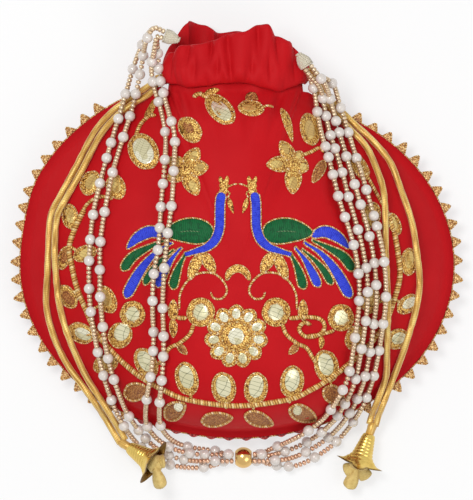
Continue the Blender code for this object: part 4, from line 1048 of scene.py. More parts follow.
def stem(bench, points, width, material=GOLD_ROPE, lift=0.0):
    """A thick twisted cord couched along a line, on the cloth or on padding."""
    line = centre_line(points)
    bench.sweep([laid(spot.x, spot.y, (lift + width * 0.28) * MM) for spot in line], width / 2 * MM,
                material, sides=7, flat=0.6, taper=True)


def ellipse_line(x, y, long, turn):
    reach = Vector((cos(radians(turn)), sin(radians(turn)))) * long / 2
    return [(x - reach.x, y - reach.y), (x, y), (x + reach.x, y + reach.y)]


def foil_leaf(bench, x, y, long, wide, turn, core=CREAM_MIRROR, ring=GOLD_LOOPS, shift=0.06, share=0.66):
    """A mirror held in a padded ring of gold loops, wider at the stem end."""
    blade(bench, ellipse_line(x, y, long, turn), wide, ring, height=0.7, shape=round_ends, edge=EDGE_ROPE)
    away = Vector((cos(radians(turn)), sin(radians(turn)))) * long * shift
    blade(bench, ellipse_line(x + away.x, y + away.y, long * (share + 0.08), turn), wide * share, core,
          height=0.25, shape=round_ends, base=0.65)


print("line of a 10 mm disc:", len(centre_line([(0, 0), (5, 0), (10, 0)])), "points")

# %% [markdown]
# ## The two peacocks
# Two peacocks face each other beak to beak. Neck and breast are one sweep of blue satin stitch, the
# body is a green drop, and the tail fans out in feathers of blue and green. Heads and crests are
# gold. Only the side differs, so each point is drawn once and mirrored in X.

# %% Peacocks
AXIS = 0.5
GREEN_LINE = twist("body_line", colour(120, 170, 110), colour(0, 40, 20), 0.0016, 0.0)
FEATHERS = (
    (((36.4, 14.2), (43, 16.6), (50, 13.6), (55.4, 8.0)), 6.0, BLUE_STITCH, petal_shape),
    (((36.5, 12.5), (45, 8.5), (52.5, 4), (57.6, -2.8)), 4.9, GREEN_STITCH, feather_shape),
    (((32.5, 11.5), (41.5, 5.5), (49, -3.5), (56.2, -16.4)), 5.4, BLUE_STITCH, feather_shape),
    (((31.5, 8.0), (37.5, 3), (42.5, -2.5), (46.8, -9.8)), 3.7, GREEN_STITCH, feather_shape),
    (((28.0, 9.0), (33, 3), (37, -4), (40.3, -11.0)), 4.5, BLUE_STITCH, feather_shape),
    (((25.6, 6.4), (29, 0), (31.2, -6), (32.6, -12.0)), 4.6, GREEN_STITCH, feather_shape),
)


def mirrored(points, side):
    return [(AXIS + x if side == "right" else AXIS - x, y) for x, y in points]


for side in SIDES:
    bench = Bench(f"peacock_{side}_stitched")
    for points, width, thread, shape in FEATHERS:
        blade(bench, mirrored(points, side), width, thread, height=0.9, shape=shape, edge=EDGE_ROPE)
    body = mirrored([(12.2, 15.2), (18, 16.4), (25, 17.2), (32, 16.6), (38.2, 15.6)], side)
    blade(bench, body, 12.6, GREEN_STITCH, height=1.2, shape=body_shape, edge=EDGE_ROPE)
    neck = mirrored([(7.7, 36.4), (8.8, 31.5), (9.0, 24.5), (9.2, 18.5), (11.2, 12.8), (15.2, 9.0),
                     (20.0, 7.2), (26.4, 5.2)], side)
    blade(bench, neck, 4.6, BLUE_STITCH, height=1.3, shape=neck_shape, base=0.15, edge=EDGE_ROPE)
    disc(bench, *mirrored([(6.9, 39.4)], side)[0], 5.0, GOLD_LOOPS, height=1.1)
    disc(bench, *mirrored([(7.2, 37.0)], side)[0], 4.4, GOLD_LOOPS, height=1.0)
    for tip in ((5.3, 44.4), (8.9, 44.2)):
        blade(bench, mirrored([(6.9, 40.0), (6.9 + (tip[0] - 6.9) * 0.8, 42.2), tip], side), 2.3, GOLD_LOOPS)
    stem(bench, mirrored([(5.0, 38.8), (3.4, 39.6), (1.6, 40.2), (0.3, 40.3)], side), 0.9, EDGE_ROPE)
    blade(bench, mirrored([(4.6, 33.6), (3.8, 30.0), (2.2, 25.6)], side), 2.6, GOLD_LOOPS, shape=pointed)
    stem(bench, mirrored([(5.4, 37.0), (4.2, 35.6), (5.2, 33.4)], side), 0.9, EDGE_ROPE)
    stem(bench, mirrored([(19.0, 16.6), (24.5, 16.9), (29.0, 16.4)], side), 0.5, GREEN_LINE, lift=1.15)
    bench.finish([f"peacock_{side}"])

# %% [markdown]
# ## Rosette and mirrors
# The middle of the bag carries a rosette of small mirrors, counted off the photograph. Four mirror
# discs hang beside it. The mirrors are set round a circle by a loop, and a raised disc then covers
# their inner ends, as the embroiderer hides them.

# %% Rosette and mirrors
ROSETTE = (-0.4, -35.4)
ROSETTE_REACH = 11.3
PETAL_COUNT = 11

bench = Bench("rosette_stitched")
disc(bench, *ROSETTE, 18.5, GOLD_LOOPS, height=0.5)
for index in range(PETAL_COUNT):
    angle = radians(360 / PETAL_COUNT * index + 90)
    x, y = ROSETTE[0] + ROSETTE_REACH * cos(angle), ROSETTE[1] + ROSETTE_REACH * sin(angle)
    foil_leaf(bench, x, y, 8.6, 7.3, degrees(angle), share=0.56, core=STRIPED_MIRROR, shift=0.0)
disc(bench, *ROSETTE, 14.2, GOLD_LOOPS, height=0.9, base=0.3, edge=GOLD_ROPE)
disc(bench, *ROSETTE, 8.2, STRIPED_MIRROR, height=0.2, base=1.2)
bench.finish(["rosette"])

MIRRORS = {"mirror_inner_left": (-18.0, -23.4, 13.6), "mirror_inner_right": (19.4, -23.4, 13.6),
           "mirror_outer_left": (-52.0, -24.4, 12.2), "mirror_outer_right": (51.8, -26.2, 12.6)}
for name, (x, y, size) in MIRRORS.items():
    bench = Bench(name + "_stitched")
    disc(bench, x, y, size, GOLD_LOOPS, height=0.9, edge=GOLD_ROPE)
    disc(bench, x, y, size * 0.62, CREAM_MIRROR, height=0.2, base=0.85, **FINE_EDGE)
    bench.finish([name])

# %% [markdown]
# ## Scrolls
# Gold scrolls rise from the mirror discs towards the peacocks. The curls match on both sides, and
# the shapes that only one side shows are drawn for that side alone.

# %% Scrolls
SCROLL_CURL = ((29.2, -22.0), (28.8, -14.5), (25.5, -8.3), (20.0, -4.3), (12.5, -4.0), (7.2, -8.2),
               (5.5, -13.0), (8.0, -16.6), (12.0, -16.4), (13.6, -13.4))
SCROLL_TAIL = ((22, -29.3), (24, -34.4), (29.4, -39.0), (34, -41.2), (37.2, -46.3), (39.5, -49.5))
SCROLL_LEAVES = ((((29.8, -39.6), (28.0, -41.6), (25.4, -44.2)), 3.2, BROWN_FILL),
                 (((32.2, -27.4), (32.3, -22.5), (32.2, -17.2)), 4.4, GOLD_LOOPS),
                 (((17.8, 6.0), (15.0, 2.0), (11.6, -3.8)), 5.4, GOLD_LOOPS),
                 (((18.6, 5.4), (21.8, -1.0), (24.2, -7.4)), 5.2, GOLD_LOOPS))

for side in SIDES:
    bench = Bench(f"scroll_{side}_stitched")
    stem(bench, mirrored(SCROLL_CURL, side), 1.2, EDGE_ROPE)
    stem(bench, mirrored(SCROLL_TAIL, side), 2.1)
    stem(bench, mirrored([(25.6, -26.4), (30.5, -26.2)], side), 2.3)
    for points, width, thread in SCROLL_LEAVES:
        blade(bench, mirrored(points, side), width, thread, **FINE_EDGE)
    if side == "right":
        stem(bench, [(26, -26.6), (34, -25.8), (41.3, -26.8), (43.6, -31.0), (40.4, -34.8), (34.2, -35.6),
                     (30.8, -32.0), (33.2, -28.6), (36.8, -29.6)], 2.2)
        stem(bench, [(34.2, -35.6), (41, -34.6), (48.5, -32.6)], 2.0)
        blade(bench, [(41.8, -35.0), (42.2, -38.5), (41.6, -42.0)], 2.8, GOLD_LOOPS)
        arch = [(-5.2, -7.6), (-3.6, -3.6), (0.4, -1.6), (4.4, -3.6), (6.2, -7.6)]
        blade(bench, arch, 3.4, GOLD_LOOPS, shape=round_ends, **FINE_EDGE)
    else:
        blade(bench, [(-32.0, -27.0), (-31.6, -31.5), (-31.8, -36.0)], 3.6, GOLD_LOOPS, **FINE_EDGE)
    bench.finish([f"scroll_{side}"])

# %% [markdown]
# ## Garland
# A vine of gold rope hangs from side to side. Mirror leaves stand on it and brown-gold leaves hang
# below it, down the steep foot of the bag. A loop could space them evenly, but by hand they are
# stitched a little unevenly, so each leaf keeps its own place, size and turn.

# %% Garland
VINE = ((-76, 28), (-80.5, 19), (-83.6, 9.5), (-82.5, 0), (-79.6, -12), (-74.9, -23.3), (-70.0, -34),
        (-61, -44.5), (-53.4, -51.6), (-46, -57), (-37, -62), (-24.5, -67), (0, -70.0), (25, -67.0),
        (37, -62.0), (47, -56), (61, -45), (73, -30.5), (78.4, -17), (81.2, -6), (80.5, 4.5), (78.4, 17))
# Each leaf: X and Y of its middle, length, width (in millimetres) and turn (in degrees)
MIRROR_LEAVES = ((-45.3, -48.7, 15.5, 10.2, 118), (-25.0, -56.6, 16.5, 10.6, 104),
                 (-6.6, -61.2, 15.5, 11.4, 98), (9.4, -61.4, 15.8, 11.0, 82),
                 (27.4, -58.2, 16.0, 11.0, 82), (44.6, -50.4, 16.0, 11.4, 104))
GOLD_LEAVES = ((-50.2, -63.2, 12.5, 8.5, 12), (-31.0, -72.6, 12.0, 8.5, 35), (-10.0, -77.0, 15.2, 6.8, 6),
               (11.0, -77.0, 14.6, 6.8, -20), (33.0, -74.4, 14.5, 7.8, -24), (48.5, -65.2, 12.5, 8.0, -40))
OUTER_LEAVES = ((-86.4, 3.5, 11.5, 5.4, 75, BROWN_FILL), (-75.8, 5.8, 12.0, 7.2, 20, GOLD_MIRROR),
                (-84.8, -15.7, 13.0, 8.2, -50, BROWN_FILL), (-77.9, -34.0, 13.5, 9.2, -25, STRIPED_MIRROR),
                (-64.9, -17.2, 14.0, 8.5, 115, GOLD_MIRROR), (-65.7, -49.5, 12.5, 8.5, 20, GOLD_MIRROR),
                (85.8, 1.6, 13.3, 7.6, 85, GOLD_MIRROR), (85.4, -19.5, 12.5, 7.6, 35, STRIPED_MIRROR),
                (80.0, -37.0, 11.5, 9.2, 25, CREAM_MIRROR), (66.5, -17.5, 13.0, 8.5, 78, GOLD_MIRROR),
                (58.5, -36.0, 12.5, 8.0, 68, GOLD_MIRROR))

bench = Bench("garland_stitched")
stem(bench, VINE, 2.9)
for x, y, long, wide, turn in MIRROR_LEAVES:
    foil_leaf(bench, x, y, long, wide, turn)
    reach = Vector((cos(radians(turn)), sin(radians(turn)))) * long / 2
    stem(bench, [(x - reach.x * 0.9, y - reach.y * 0.9), (x - reach.x * 1.15, y - reach.y * 1.35)], 1.6)
for x, y, long, wide, turn in GOLD_LEAVES:
    blade(bench, ellipse_line(x, y, long, turn), wide, BROWN_FILL, edge=EDGE_ROPE, rope=0.75)
for x, y, turn in ((-29.2, -70.8, 35), (30.2, -72.6, -24)):
    blade(bench, ellipse_line(x, y, 5.0, turn + 90), 4.6, STRIPED_MIRROR, base=0.5, height=0.3,
          shape=round_ends)
foil_leaf(bench, -58.3, -35.0, 12.8, 11.2, 60, shift=0.14)
for x, y, long, wide, turn, core in OUTER_LEAVES:
    foil_leaf(bench, x, y, long, wide, turn, core=core, share=0.6, shift=0.08)
    near = min(VINE, key=lambda spot: hypot(spot[0] - x, spot[1] - y))
    stem(bench, [(x * 0.7 + near[0] * 0.3, y * 0.7 + near[1] * 0.3 - 1.0), near], 1.6)
bench.finish(["garland"])

# %% [markdown]
# ## Flowers
# A five-petalled flower stands on each shoulder. Every petal is a gold blade with a slip of mirror
# on it, and a raised disc covers where the petals meet.

# %% Flowers


def flower(bench, x, y, petals, core):
    for reach_x, reach_y, wide in petals:
        tip = (x + reach_x, y + reach_y)
        line = [(x + share * reach_x, y + share * reach_y) for share in (0.12, 0.5)] + [tip]
        blade(bench, line, wide, GOLD_LOOPS, height=0.9, edge=EDGE_ROPE)
        slip = [(x + share * reach_x, y + share * reach_y) for share in (0.42, 0.88)]
        blade(bench, slip, wide * 0.5, GOLD_MIRROR, height=0.2, base=0.85, shape=round_ends)
    disc(bench, x, y, core, GOLD_LOOPS, height=1.2, base=0.1)


def small_motif(name, draw):
    bench = Bench(name + "_stitched")
    draw(bench)
    bench.finish([name])


LEFT_PETALS = ((7.0, 10.6, 7.4), (11.8, 1.6, 7.6), (6.6, -12.4, 7.6), (-7, 6, 7), (-8, -5, 7))
RIGHT_PETALS = ((-6.6, 11.0, 6.4), (-13.6, -0.6, 7.4), (-0.8, -15.0, 7.8), (3.6, 6.0, 5.4), (7, -2.6, 7.4))
small_motif("flower_left", lambda bench: flower(bench, -26.2, 47.4, LEFT_PETALS, 6))
small_motif("flower_right", lambda bench: flower(bench, 28.4, 50.6, RIGHT_PETALS, 6))

# %% [markdown]
# ## Ovals and drops
# Mirror ovals and drops fill the cloth below the neck, with a slim leaf at the right. They are the
# same blades and mirrors in other sizes, and each has its own short function, so that the list
# below them says which CAD piece each one stands for.

# %% Ovals and drops


def top_left(bench):
    foil_leaf(bench, -8.4, 77.6, 18.0, 10.6, -47, core=STRIPED_MIRROR, share=0.64, shift=0.05)
    stem(bench, [(-15.2, 83.6), (-18.5, 85.4), (-22.0, 83.8)], 2.4)
    blade(bench, [(-16.4, 84.4), (-12.4, 86.6), (-8.6, 87.4)], 3.6, GOLD_LOOPS)


def top_right(bench):
    foil_leaf(bench, 7.0, 78.2, 12.5, 7.4, -6, core=GOLD_MIRROR, share=0.5, shift=-0.08)
    blade(bench, [(4.6, 81.4), (7.6, 84.4), (10.6, 82.2)], 4.6, BROWN_FILL, shape=pointed)
    stem(bench, [(12.2, 78.0), (15.0, 79.4), (18.2, 78.6)], 1.4, EDGE_ROPE)


def left_drop(bench):
    foil_leaf(bench, -46.6, 56.6, 18.5, 14.0, 118, core=STRIPED_MIRROR, share=0.68, shift=0.02)
    stem(bench, [(-50.5, 64.6), (-48.0, 70.5), (-43.5, 74.6), (-40.5, 74.8)], 2.2)
    blade(bench, [(-46.0, 72.6), (-43.0, 78.0), (-41.4, 83.0)], 3.6, GOLD_LOOPS)


def small_drop(bench):
    foil_leaf(bench, -23.4, 67.4, 14.0, 9.6, -52, core=BROWN_FILL, share=0.42, shift=-0.1)


def right_drop(bench):
    foil_leaf(bench, 36.4, 67.7, 16.0, 9.2, 100, core=GOLD_MIRROR, share=0.55, shift=0.0)


def slim_leaves(bench):
    blade(bench, [(22.0, 78.0), (24.6, 72.5), (27.6, 61.4)], 3.6, GOLD_LOOPS, shape=pointed, **FINE_EDGE)


small_motif("top_oval_left", top_left)
small_motif("top_oval_right", top_right)
small_motif("drop_left", left_drop)
small_motif("drop_small_left", small_drop)
small_motif("drop_right", right_drop)
small_motif("leaf_pair_right", slim_leaves)

# %% [markdown]
# ## Side sprays
# A spray of mirror leaves climbs each side of the bag, partly behind the strap. The two sides are
# not mirror images on the real bag, so each has its own leaves and stem, drawn by one function.

# %% Side sprays
SPRAY_LEAVES = {"left": ((-73.3, 41.0, 12.5, 9.0, 65), (-60.4, 39.0, 12.5, 8.8, 110),
                         (-83.3, 24.1, 12.5, 7.6, 100)),
                "right": ((61.2, 49.0, 14.0, 7.0, -58), (67.0, 25.0, 12.5, 8.6, 80),
                          (78.6, 20.5, 11.0, 5.4, 112))}
SPRAY_STEMS = {"left": ((-62, 33), (-68, 34), (-75, 30), (-80, 20)),
               "right": ((56.7, 61), (65, 44.3), (70.7, 33.8), (75.6, 25.4), (78.4, 17))}


def side_spray(bench, side):
    for x, y, long, wide, turn in SPRAY_LEAVES[side]:
        foil_leaf(bench, x, y, long, wide, turn, core=GOLD_MIRROR, share=0.58)
    stem(bench, SPRAY_STEMS[side], 1.9)
    if side == "right":
        stem(bench, [(31, 54.2), (37, 56.4), (41, 58.4), (43.6, 56)], 1.9)
        blade(bench, [(43.6, 52), (40.8, 46.6), (37.7, 41)], 4.8, BROWN_FILL, **FINE_EDGE)


for side in SIDES:
    small_motif(f"side_spray_{side}", lambda bench: side_spray(bench, side))

# %% [markdown]
# ## Where the cords lie
# Each cord follows the plan route of its CAD tube. Its height is read half way between the tube's
# top and underside, smoothed a little, and lifted wherever the finished cloth stands higher.

# %% Cord heights
RAY_FOOT = -0.1
KEPT_ENDS = 4                        # points at each end that keep the height of the tube


def tree_of(name):
    """The surface of a CAD node, ready for rays."""
    bm = bmesh.new()
    bm.from_mesh(nodes[name].data)
    tree = BVHTree.FromBMesh(bm)
    bm.free()
    return tree


def middle_height(tree, x, y):
    top = tree.ray_cast(Vector((x, y, RAY_START)), -UP)[0]
    low = tree.ray_cast(Vector((x, y, RAY_FOOT)), UP)[0]
    return (top.z + low.z) / 2 if top is not None and low is not None else None


def smoothed(values, passes):
    for _ in range(passes):
        inner = [(a + 2 * b + c) / 4 for a, b, c in zip(values, values[1:], values[2:])]
        values = [values[0]] + inner + [values[-1]]
    return values


def laid_path(name, plan, start_z, end_z, radius, spacing=0.0012):
    """A cord's centre line: its plan in metres, with the heights of the CAD tube."""
    tree = tree_of(name)
    spots = even([(x, y, 0.0) for x, y in plan], spacing)
    heights = [middle_height(tree, spot.x, spot.y) for spot in spots]
    heights[0], heights[-1] = start_z, end_z
    known = [index for index, height in enumerate(heights) if height is not None]
    for one, two in zip(known, known[1:]):
        for index in range(one + 1, two):
            heights[index] = heights[one] + (heights[two] - heights[one]) * (index - one) / (two - one)
    clear = smoothed(heights, 4)
    for index in range(KEPT_ENDS + 1, len(spots) - KEPT_ENDS):
        clear[index] = max(clear[index], top_of(GROUND, spots[index].x, spots[index].y) + radius * 0.9)
    clear = smoothed(clear, 3)
    return [Vector((spot.x, spot.y, max(height, radius + 0.0001))) for spot, height in zip(spots, clear)]


print("a step smoothed once:", smoothed([0.0, 0.0, 1.0, 1.0], 1))

# %% [markdown]
# ## Drawcord routes
# Each drawcord is a satin tube that runs round the neck inside the casing and comes out as a pair.
# The pair lies beside the bag and ends in a knot above a bell. A route gives the middle of the pair
# and half the distance between its two ends.

# %% Drawcord routes
KNOT_RADIUS = 0.0026
CORD_WIDTH = 0.0032                  # the satin tube is soft and lies a little flattened
PAIR_HALF = 0.00165
LOOP_START = 27.0
PAIRS = {
    "left": ((-43.5, 88.0, 1.6), (-53, 82, 1.6), (-62.5, 74.5, 1.6), (-70.5, 64.5, 1.7), (-78.5, 49, 1.7),
             (-86.5, 34.5, 1.6), (-91.5, 24, 1.6), (-92.6, 8, 1.6), (-92.6, -5, 2.2), (-92, -20, 3.3),
             (-88.5, -34, 3.5), (-83, -47, 3.1), (-76, -59, 2.0), (-68.5, -70, 1.65), (-62, -80.5, 1.65)),
    "right": ((41.5, 86.5, 1.6), (48.5, 78.5, 1.6), (57, 70, 1.7), (66, 61, 2.2), (73, 50, 3.8),
              (77.5, 37, 4.4), (80.6, 21, 6.6), (81.8, 7, 7.8), (83, -9, 8.2), (82.3, -22, 7.0),
              (80.6, -33, 5.6), (78.6, -45, 3.8), (76.4, -56, 1.9), (73, -65.5, 1.65), (69.5, -74.5, 1.65)),
}
# Each bell: the middle of its crown and a place that its mouth faces
BELLS = {"left": ((-54.2, -91.3, 9.0), (-41.6, -99.0, 16.0)),
         "right": ((66.5, -84.5, 8.5), (61.0, -100.5, 9.2))}


def satin_cord():
    paint = Paint("satin_cord", colour(226, 178, 86), Sheen_Weight=0.4, Metallic=0.25, Roughness=0.36)
    turn = paint.attribute("around")
    pulled = paint.node("ShaderNodeCombineXYZ", None, {0: paint.attribute("along") * 90.0, 1: turn * 9.0})
    # The fold noise paints lighter highlights and darker shade along the satin (painted sheen and painted
    # shade), and it also drives the bump and roughness.
    sheen_folds_painted = paint.node("ShaderNodeTexNoise", None, {"Vector": pulled, "Scale": 1.0, "Detail": 3.0})
    stops = [(0.3, colour(160, 108, 34)), (0.47, colour(214, 166, 74)), (0.66, colour(248, 218, 128))]
    twill = paint.wave(paint.attribute("along") + turn * 0.0022, 0.0011)
    gold = paint.node("ShaderNodeValToRGB", {"stops": stops}, {0: sheen_folds_painted})
    paint.feed(Base_Color=paint.blend((twill > 0.72) * 0.3, gold, colour(166, 112, 38)),
               Roughness=sheen_folds_painted * 0.3 + 0.2, Normal=paint.bump(sheen_folds_painted + twill * 0.15, 0.0005, 0.5))
    return paint.material


SATIN = satin_cord()
print("points on a pair:", {side: len(pair) for side, pair in PAIRS.items()})

# %% [markdown]
# ## Laying the drawcords
# The loop lies hidden in the casing. Both ends leave it through one slit, part beside the bag and meet again
# in the knot. Their paths are kept, and their lengths are printed once the bells that they carry are made.

# %% Laying the drawcords


def pair_route(pair, side):
    middle = [Vector((x, y)) for x, y, _ in pair]
    route = []
    for index, (x, y, half) in enumerate(pair):
        along = (middle[min(index + 1, len(pair) - 1)] - middle[max(index - 1, 0)]).normalized()
        route.append(((x + side * along.y * half) * MM, (y - side * along.x * half) * MM))
    return route


def bell_axis(side):
    start, end = (Vector(place) * MM for place in BELLS[side])
    return start, (end - start).normalized()


cord_paths = {}
knot_places = {}
for side in SIDES:
    pair = PAIRS[side]
    slit, outward = (180.0, -1) if side == "left" else (0.0, 1)
    level = LOWER_CORD if side == "left" else UPPER_CORD
    crown, along = bell_axis(side)
    knot = crown - along * (KNOT_RADIUS + SEAT_GAP)
    knot_places[side] = knot
    loop = [neck_place(slit + LOOP_START + (360.0 - 2 * LOOP_START) * step / 90, 0.0, level)
            for step in range(91)]
    bench = Bench(f"drawcord_{side}_in_casing")
    bench.sweep(loop, CORD_DIAMETER / 2, SATIN, sides=8)
    bench.finish([f"drawcord_{side}_loop"])
    for rank, place in (("inner", -1), ("outer", 1)):
        z = NECK_Z + place * 1.6 * MM
        turn = LOOP_START * 0.93 * place * outward
        mouth = neck_place(slit, 0.0, level)
        inside = [neck_place(slit + turn, 0.0, level), neck_place(slit + turn * 0.62, 0.1 * MM, level),
                  Vector((mouth.x + outward * 1.0 * MM, level, z))]
        last = Vector((mouth.x + outward * 5.6 * MM, level - 0.2 * MM, z))
        back = Vector((pair[-1][0] * MM - knot.x, pair[-1][1] * MM - knot.y, 0.0)).normalized()
        flank = Vector((-back.y, back.x, 0.0)) * (-place * outward) * PAIR_HALF
        meet = knot + back * (KNOT_RADIUS * 0.6) + flank
        before = knot + back * (KNOT_RADIUS + SEAT_GAP + 0.0002 + CORD_DIAMETER) + flank
        plan = [(last.x, last.y)] + pair_route(pair, -place * outward) + [(before.x, before.y)]
        path = laid_path(f"drawcord_{side}_{rank}", plan, z, before.z, CORD_DIAMETER / 2)
        path = even([tuple(spot) for spot in inside + path[::2] + [meet]], 0.0013)
        bench = Bench(f"drawcord_{side}_{rank}_satin")
        bench.sweep(path, lambda share: CORD_WIDTH / 2 * (1.0 + 0.12 * noise.noise(
            Vector((share * 60, place, 0)))), SATIN, sides=12, flat=0.68)
        cord_paths[side, rank] = (bench.finish([f"drawcord_{side}_{rank}"]), path)

# %% [markdown]
# ## Brass and petal cloth
# The bells and the strap's ball are pressed brass. A bell is painted darker towards its rim, and dark brown
# inside its cap as painted shade. The petals in its mouth are a stiff gold cloth.

# %% Brass and petal cloth


def polished(name, light, dark, roughness, dark_rim_and_painted_shade_inside=False):
    paint = Paint(name, light, Metallic=1.0, Roughness=roughness)
    spots = paint.node("ShaderNodeTexNoise", None, {"Vector": paint.place(), "Scale": 260.0, "Detail": 3.0})
    tint = paint.blend(spots * 0.6, light, dark)
    # The tone attribute paints dark brown: painted shade inside the cap, and a darker rim.
    if dark_rim_and_painted_shade_inside:
        tint = paint.blend(paint.attribute("tone"), tint, colour(88, 52, 18))
    paint.feed(Base_Color=tint, Roughness=spots * 0.14 + roughness - 0.05,
               Normal=paint.bump(spots, 0.0002, 0.25))
    return paint.material


BELL_METAL = polished("bell_brass", colour(240, 212, 120), colour(198, 150, 62), 0.24, dark_rim_and_painted_shade_inside=True)
BALL_METAL = polished("ball_brass", colour(234, 196, 128), colour(206, 160, 92), 0.16)


def petal_cloth():
    paint = Paint("petal_cloth", colour(212, 184, 100), Sheen_Weight=0.3, Roughness=0.55, Metallic=0.2)
    grain = paint.node("ShaderNodeTexNoise", None, {"Vector": paint.place(), "Scale": 650.0, "Detail": 3.0})
    paint.feed(Base_Color=paint.blend(grain, colour(178, 140, 62), colour(234, 212, 136)),
               Roughness=grain * 0.4 + 0.35, Normal=paint.bump(grain, 0.0004, 0.6))
    return paint.material


PETAL_CLOTH = petal_cloth()
print("bell finishes:", BELL_METAL.name, BALL_METAL.name, PETAL_CLOTH.name)

# %% [markdown]
# ## The shape of a bell
# A cap is a cone with fine rings round it, a flared mouth and four pointed tips. The lower tip is
# short, because the bell lies on it, and the upper one reaches forward. A spin would make the cone,
# but not the tips, so the cap is lofted ring by ring. It is drawn standing on +Z and then laid down.

# %% Bell shape
BELL_LENGTH = 0.0180
BELL_TOP = 0.0032
BELL_TIP_FLARE = 0.0048
BELL_WALL = 0.0008
BELL_SIDES, BELL_STEPS = 56, 66
BELL_PROFILE = ((0.0, 0.5), (0.03, 0.9), (0.08, 1.02), (0.30, 1.24), (0.55, 1.52), (0.78, 1.84),
                (0.92, 2.10), (1.0, 2.3))


def bell_frame(side):
    start, along = bell_axis(side)
    across = along.cross(UP).normalized()
    over = along.cross(across)
    return Matrix.Translation(start) @ Matrix((across, over, along)).transposed().to_4x4()


def read(profile, share):
    """A value between the given (share, value) pairs."""
    for (start, low), (end, high) in zip(profile, profile[1:]):
        if share <= end:
            return low + (high - low) * (share - start) / (end - start)
    return profile[-1][1]


def bell_ring(share, inset):
    fade = smooth_step((share - 0.10) / 0.05) * smooth_step((0.82 - share) / 0.05)
    groove = 0.045 * abs(sin(pi * 11 * share)) ** 0.6 * fade
    points = []
    for step in range(BELL_SIDES):
        angle = 2 * pi * step / BELL_SIDES
        tip = max(cos(2 * angle) ** 2, 0.0) ** 1.6 * max((share - 0.62) / 0.38, 0.0) ** 1.6
        tip *= 0.35 if sin(angle) > 0.7 else 1.0
        size = read(BELL_PROFILE, share) * BELL_TOP * (1.0 + groove) + BELL_TIP_FLARE * tip - inset
        z = share * BELL_LENGTH - 0.0010 * smooth_step((share - 0.85) / 0.15)
        z += tip * (0.0022 if sin(angle) < -0.7 else -0.0012)
        points.append(Vector((size * cos(angle), size * sin(angle), z)))
    return points


print("mouth of a bell:", round(2 * max(point.x for point in bell_ring(1.0, 0.0)), 4))

# %% [markdown]
# ## Caps, petals and knots
# Each cap is lofted down its outside and back up its inside. Three petals of cloth hang out of the
# mouth at their own angles, and a satin knot closes the pair of cords above the crown.

# %% Caps, petals and knots
PETALS = {"left": ((-42, -4.5), (42, 3.0), (4, -6.0)),       # splay in degrees, extra length in mm
          "right": ((-52, -2.4), (6, 2.4), (50, -2.4))}
PETAL_STEPS = 21
PLUG_ROWS = ((0.30, 0.0022), (0.8, 0.0040), (0.99, 0.0050), (1.06, 0.0030))    # share of the cap, radius
KNOT_ROWS = ((-0.0030, 0.0012), (-0.0024, 0.0021), (-0.0008, 0.0024), (0.0012, 0.0022),
             (0.0030, 0.0022), (0.0040, 0.0014))                               # height, radius


def bell_cap(side, turned):
    bench = Bench(f"bell_{side}")
    shares = [step / BELL_STEPS for step in range(BELL_STEPS + 1)]
    rows = [bell_ring(share, 0.0) for share in shares]
    rows += [bell_ring(share, BELL_WALL) for share in shares[:12:-6]]
    verts = bench.rings([[turned @ point for point in row] for row in rows], BELL_METAL)
    for index, vert in enumerate(verts):
        row = index // BELL_SIDES
        # Tone darkens the rim, and the whole inner wall (0.9) as painted shade inside the cap.
        vert[bench.tone] = 0.85 * smooth_step((shares[row] - 0.93) / 0.07) if row <= BELL_STEPS else 0.9
    return bench.finish([f"bell_cap_{side}"], sharp=50)


def bell_petals(side, turned):
    bench = Bench(f"petals_{side}")
    plug = [[turned @ Vector((size * cos(pi * step / 10), size * sin(pi * step / 10), z * BELL_LENGTH))
             for step in range(20)] for z, size in PLUG_ROWS]
    bench.rings(plug, PETAL_CLOTH)
    for splay, extra in PETALS[side]:
        reach = 0.0105 + extra * MM
        mouth = turned @ Matrix.Translation((0, 0, BELL_LENGTH * 0.94))
        lean = mouth @ Matrix.Rotation(radians(splay), 4, "Y")
        rows = []
        for step in range(PETAL_STEPS + 1):
            share = step / PETAL_STEPS
            rounded = sqrt(max(1 - max((share - 0.8) / 0.2, 0) ** 2, 0.03))
            half = 0.0036 * (0.35 + 0.65 * smooth_step(share / 0.72)) * rounded
            curl = 0.0009 * sin(3 * share + splay)
            rows.append([lean @ Vector((half * cos(pi * k / 8), 0.0008 * sin(pi * k / 8) + curl
                                        + 0.0005 * cos(pi * k / 4), share * reach)) for k in range(16)])
        bench.rings(rows, PETAL_CLOTH)
    return bench.finish([f"bell_petals_{side}"])


def cord_knot(side):
    bench = Bench(f"knot_{side}")
    knot, along = knot_places[side], bell_axis(side)[1]
    quarter = along.to_track_quat("Z", "Y").to_matrix()
    bench.rings([[knot + quarter @ Vector((size * cos(pi * k / 8), size * sin(pi * k / 8), z))
                  for k in range(16)] for z, size in KNOT_ROWS], SATIN)
    return bench.finish([f"cord_knot_{side}"])


bells = {}
for side in SIDES:
    turned = bell_frame(side)
    bells[side] = [bell_cap(side, turned), bell_petals(side, turned), cord_knot(side)]

# %% [markdown]
# ## Drawcord lengths
# The inner end of each pair carries the bell with its petals and knot, and the outer end is tied into the
# same knot. The length of each drawcord's path is printed here.

# %% Drawcord lengths
for (side, rank), (made, path) in cord_paths.items():
    length_of(path)
    "fitting" if rank == "inner" else "knot"
    bells[side] if rank == "inner" else ()
    print("drawcord", side, rank, round(length_of(path), 4))

# %% [markdown]
# ## Strap routes
# The strap is four strings of beads a side, from a thread tie at the neck to one brass ball at the
# foot. The routes follow the strings in the photograph, in millimetres.

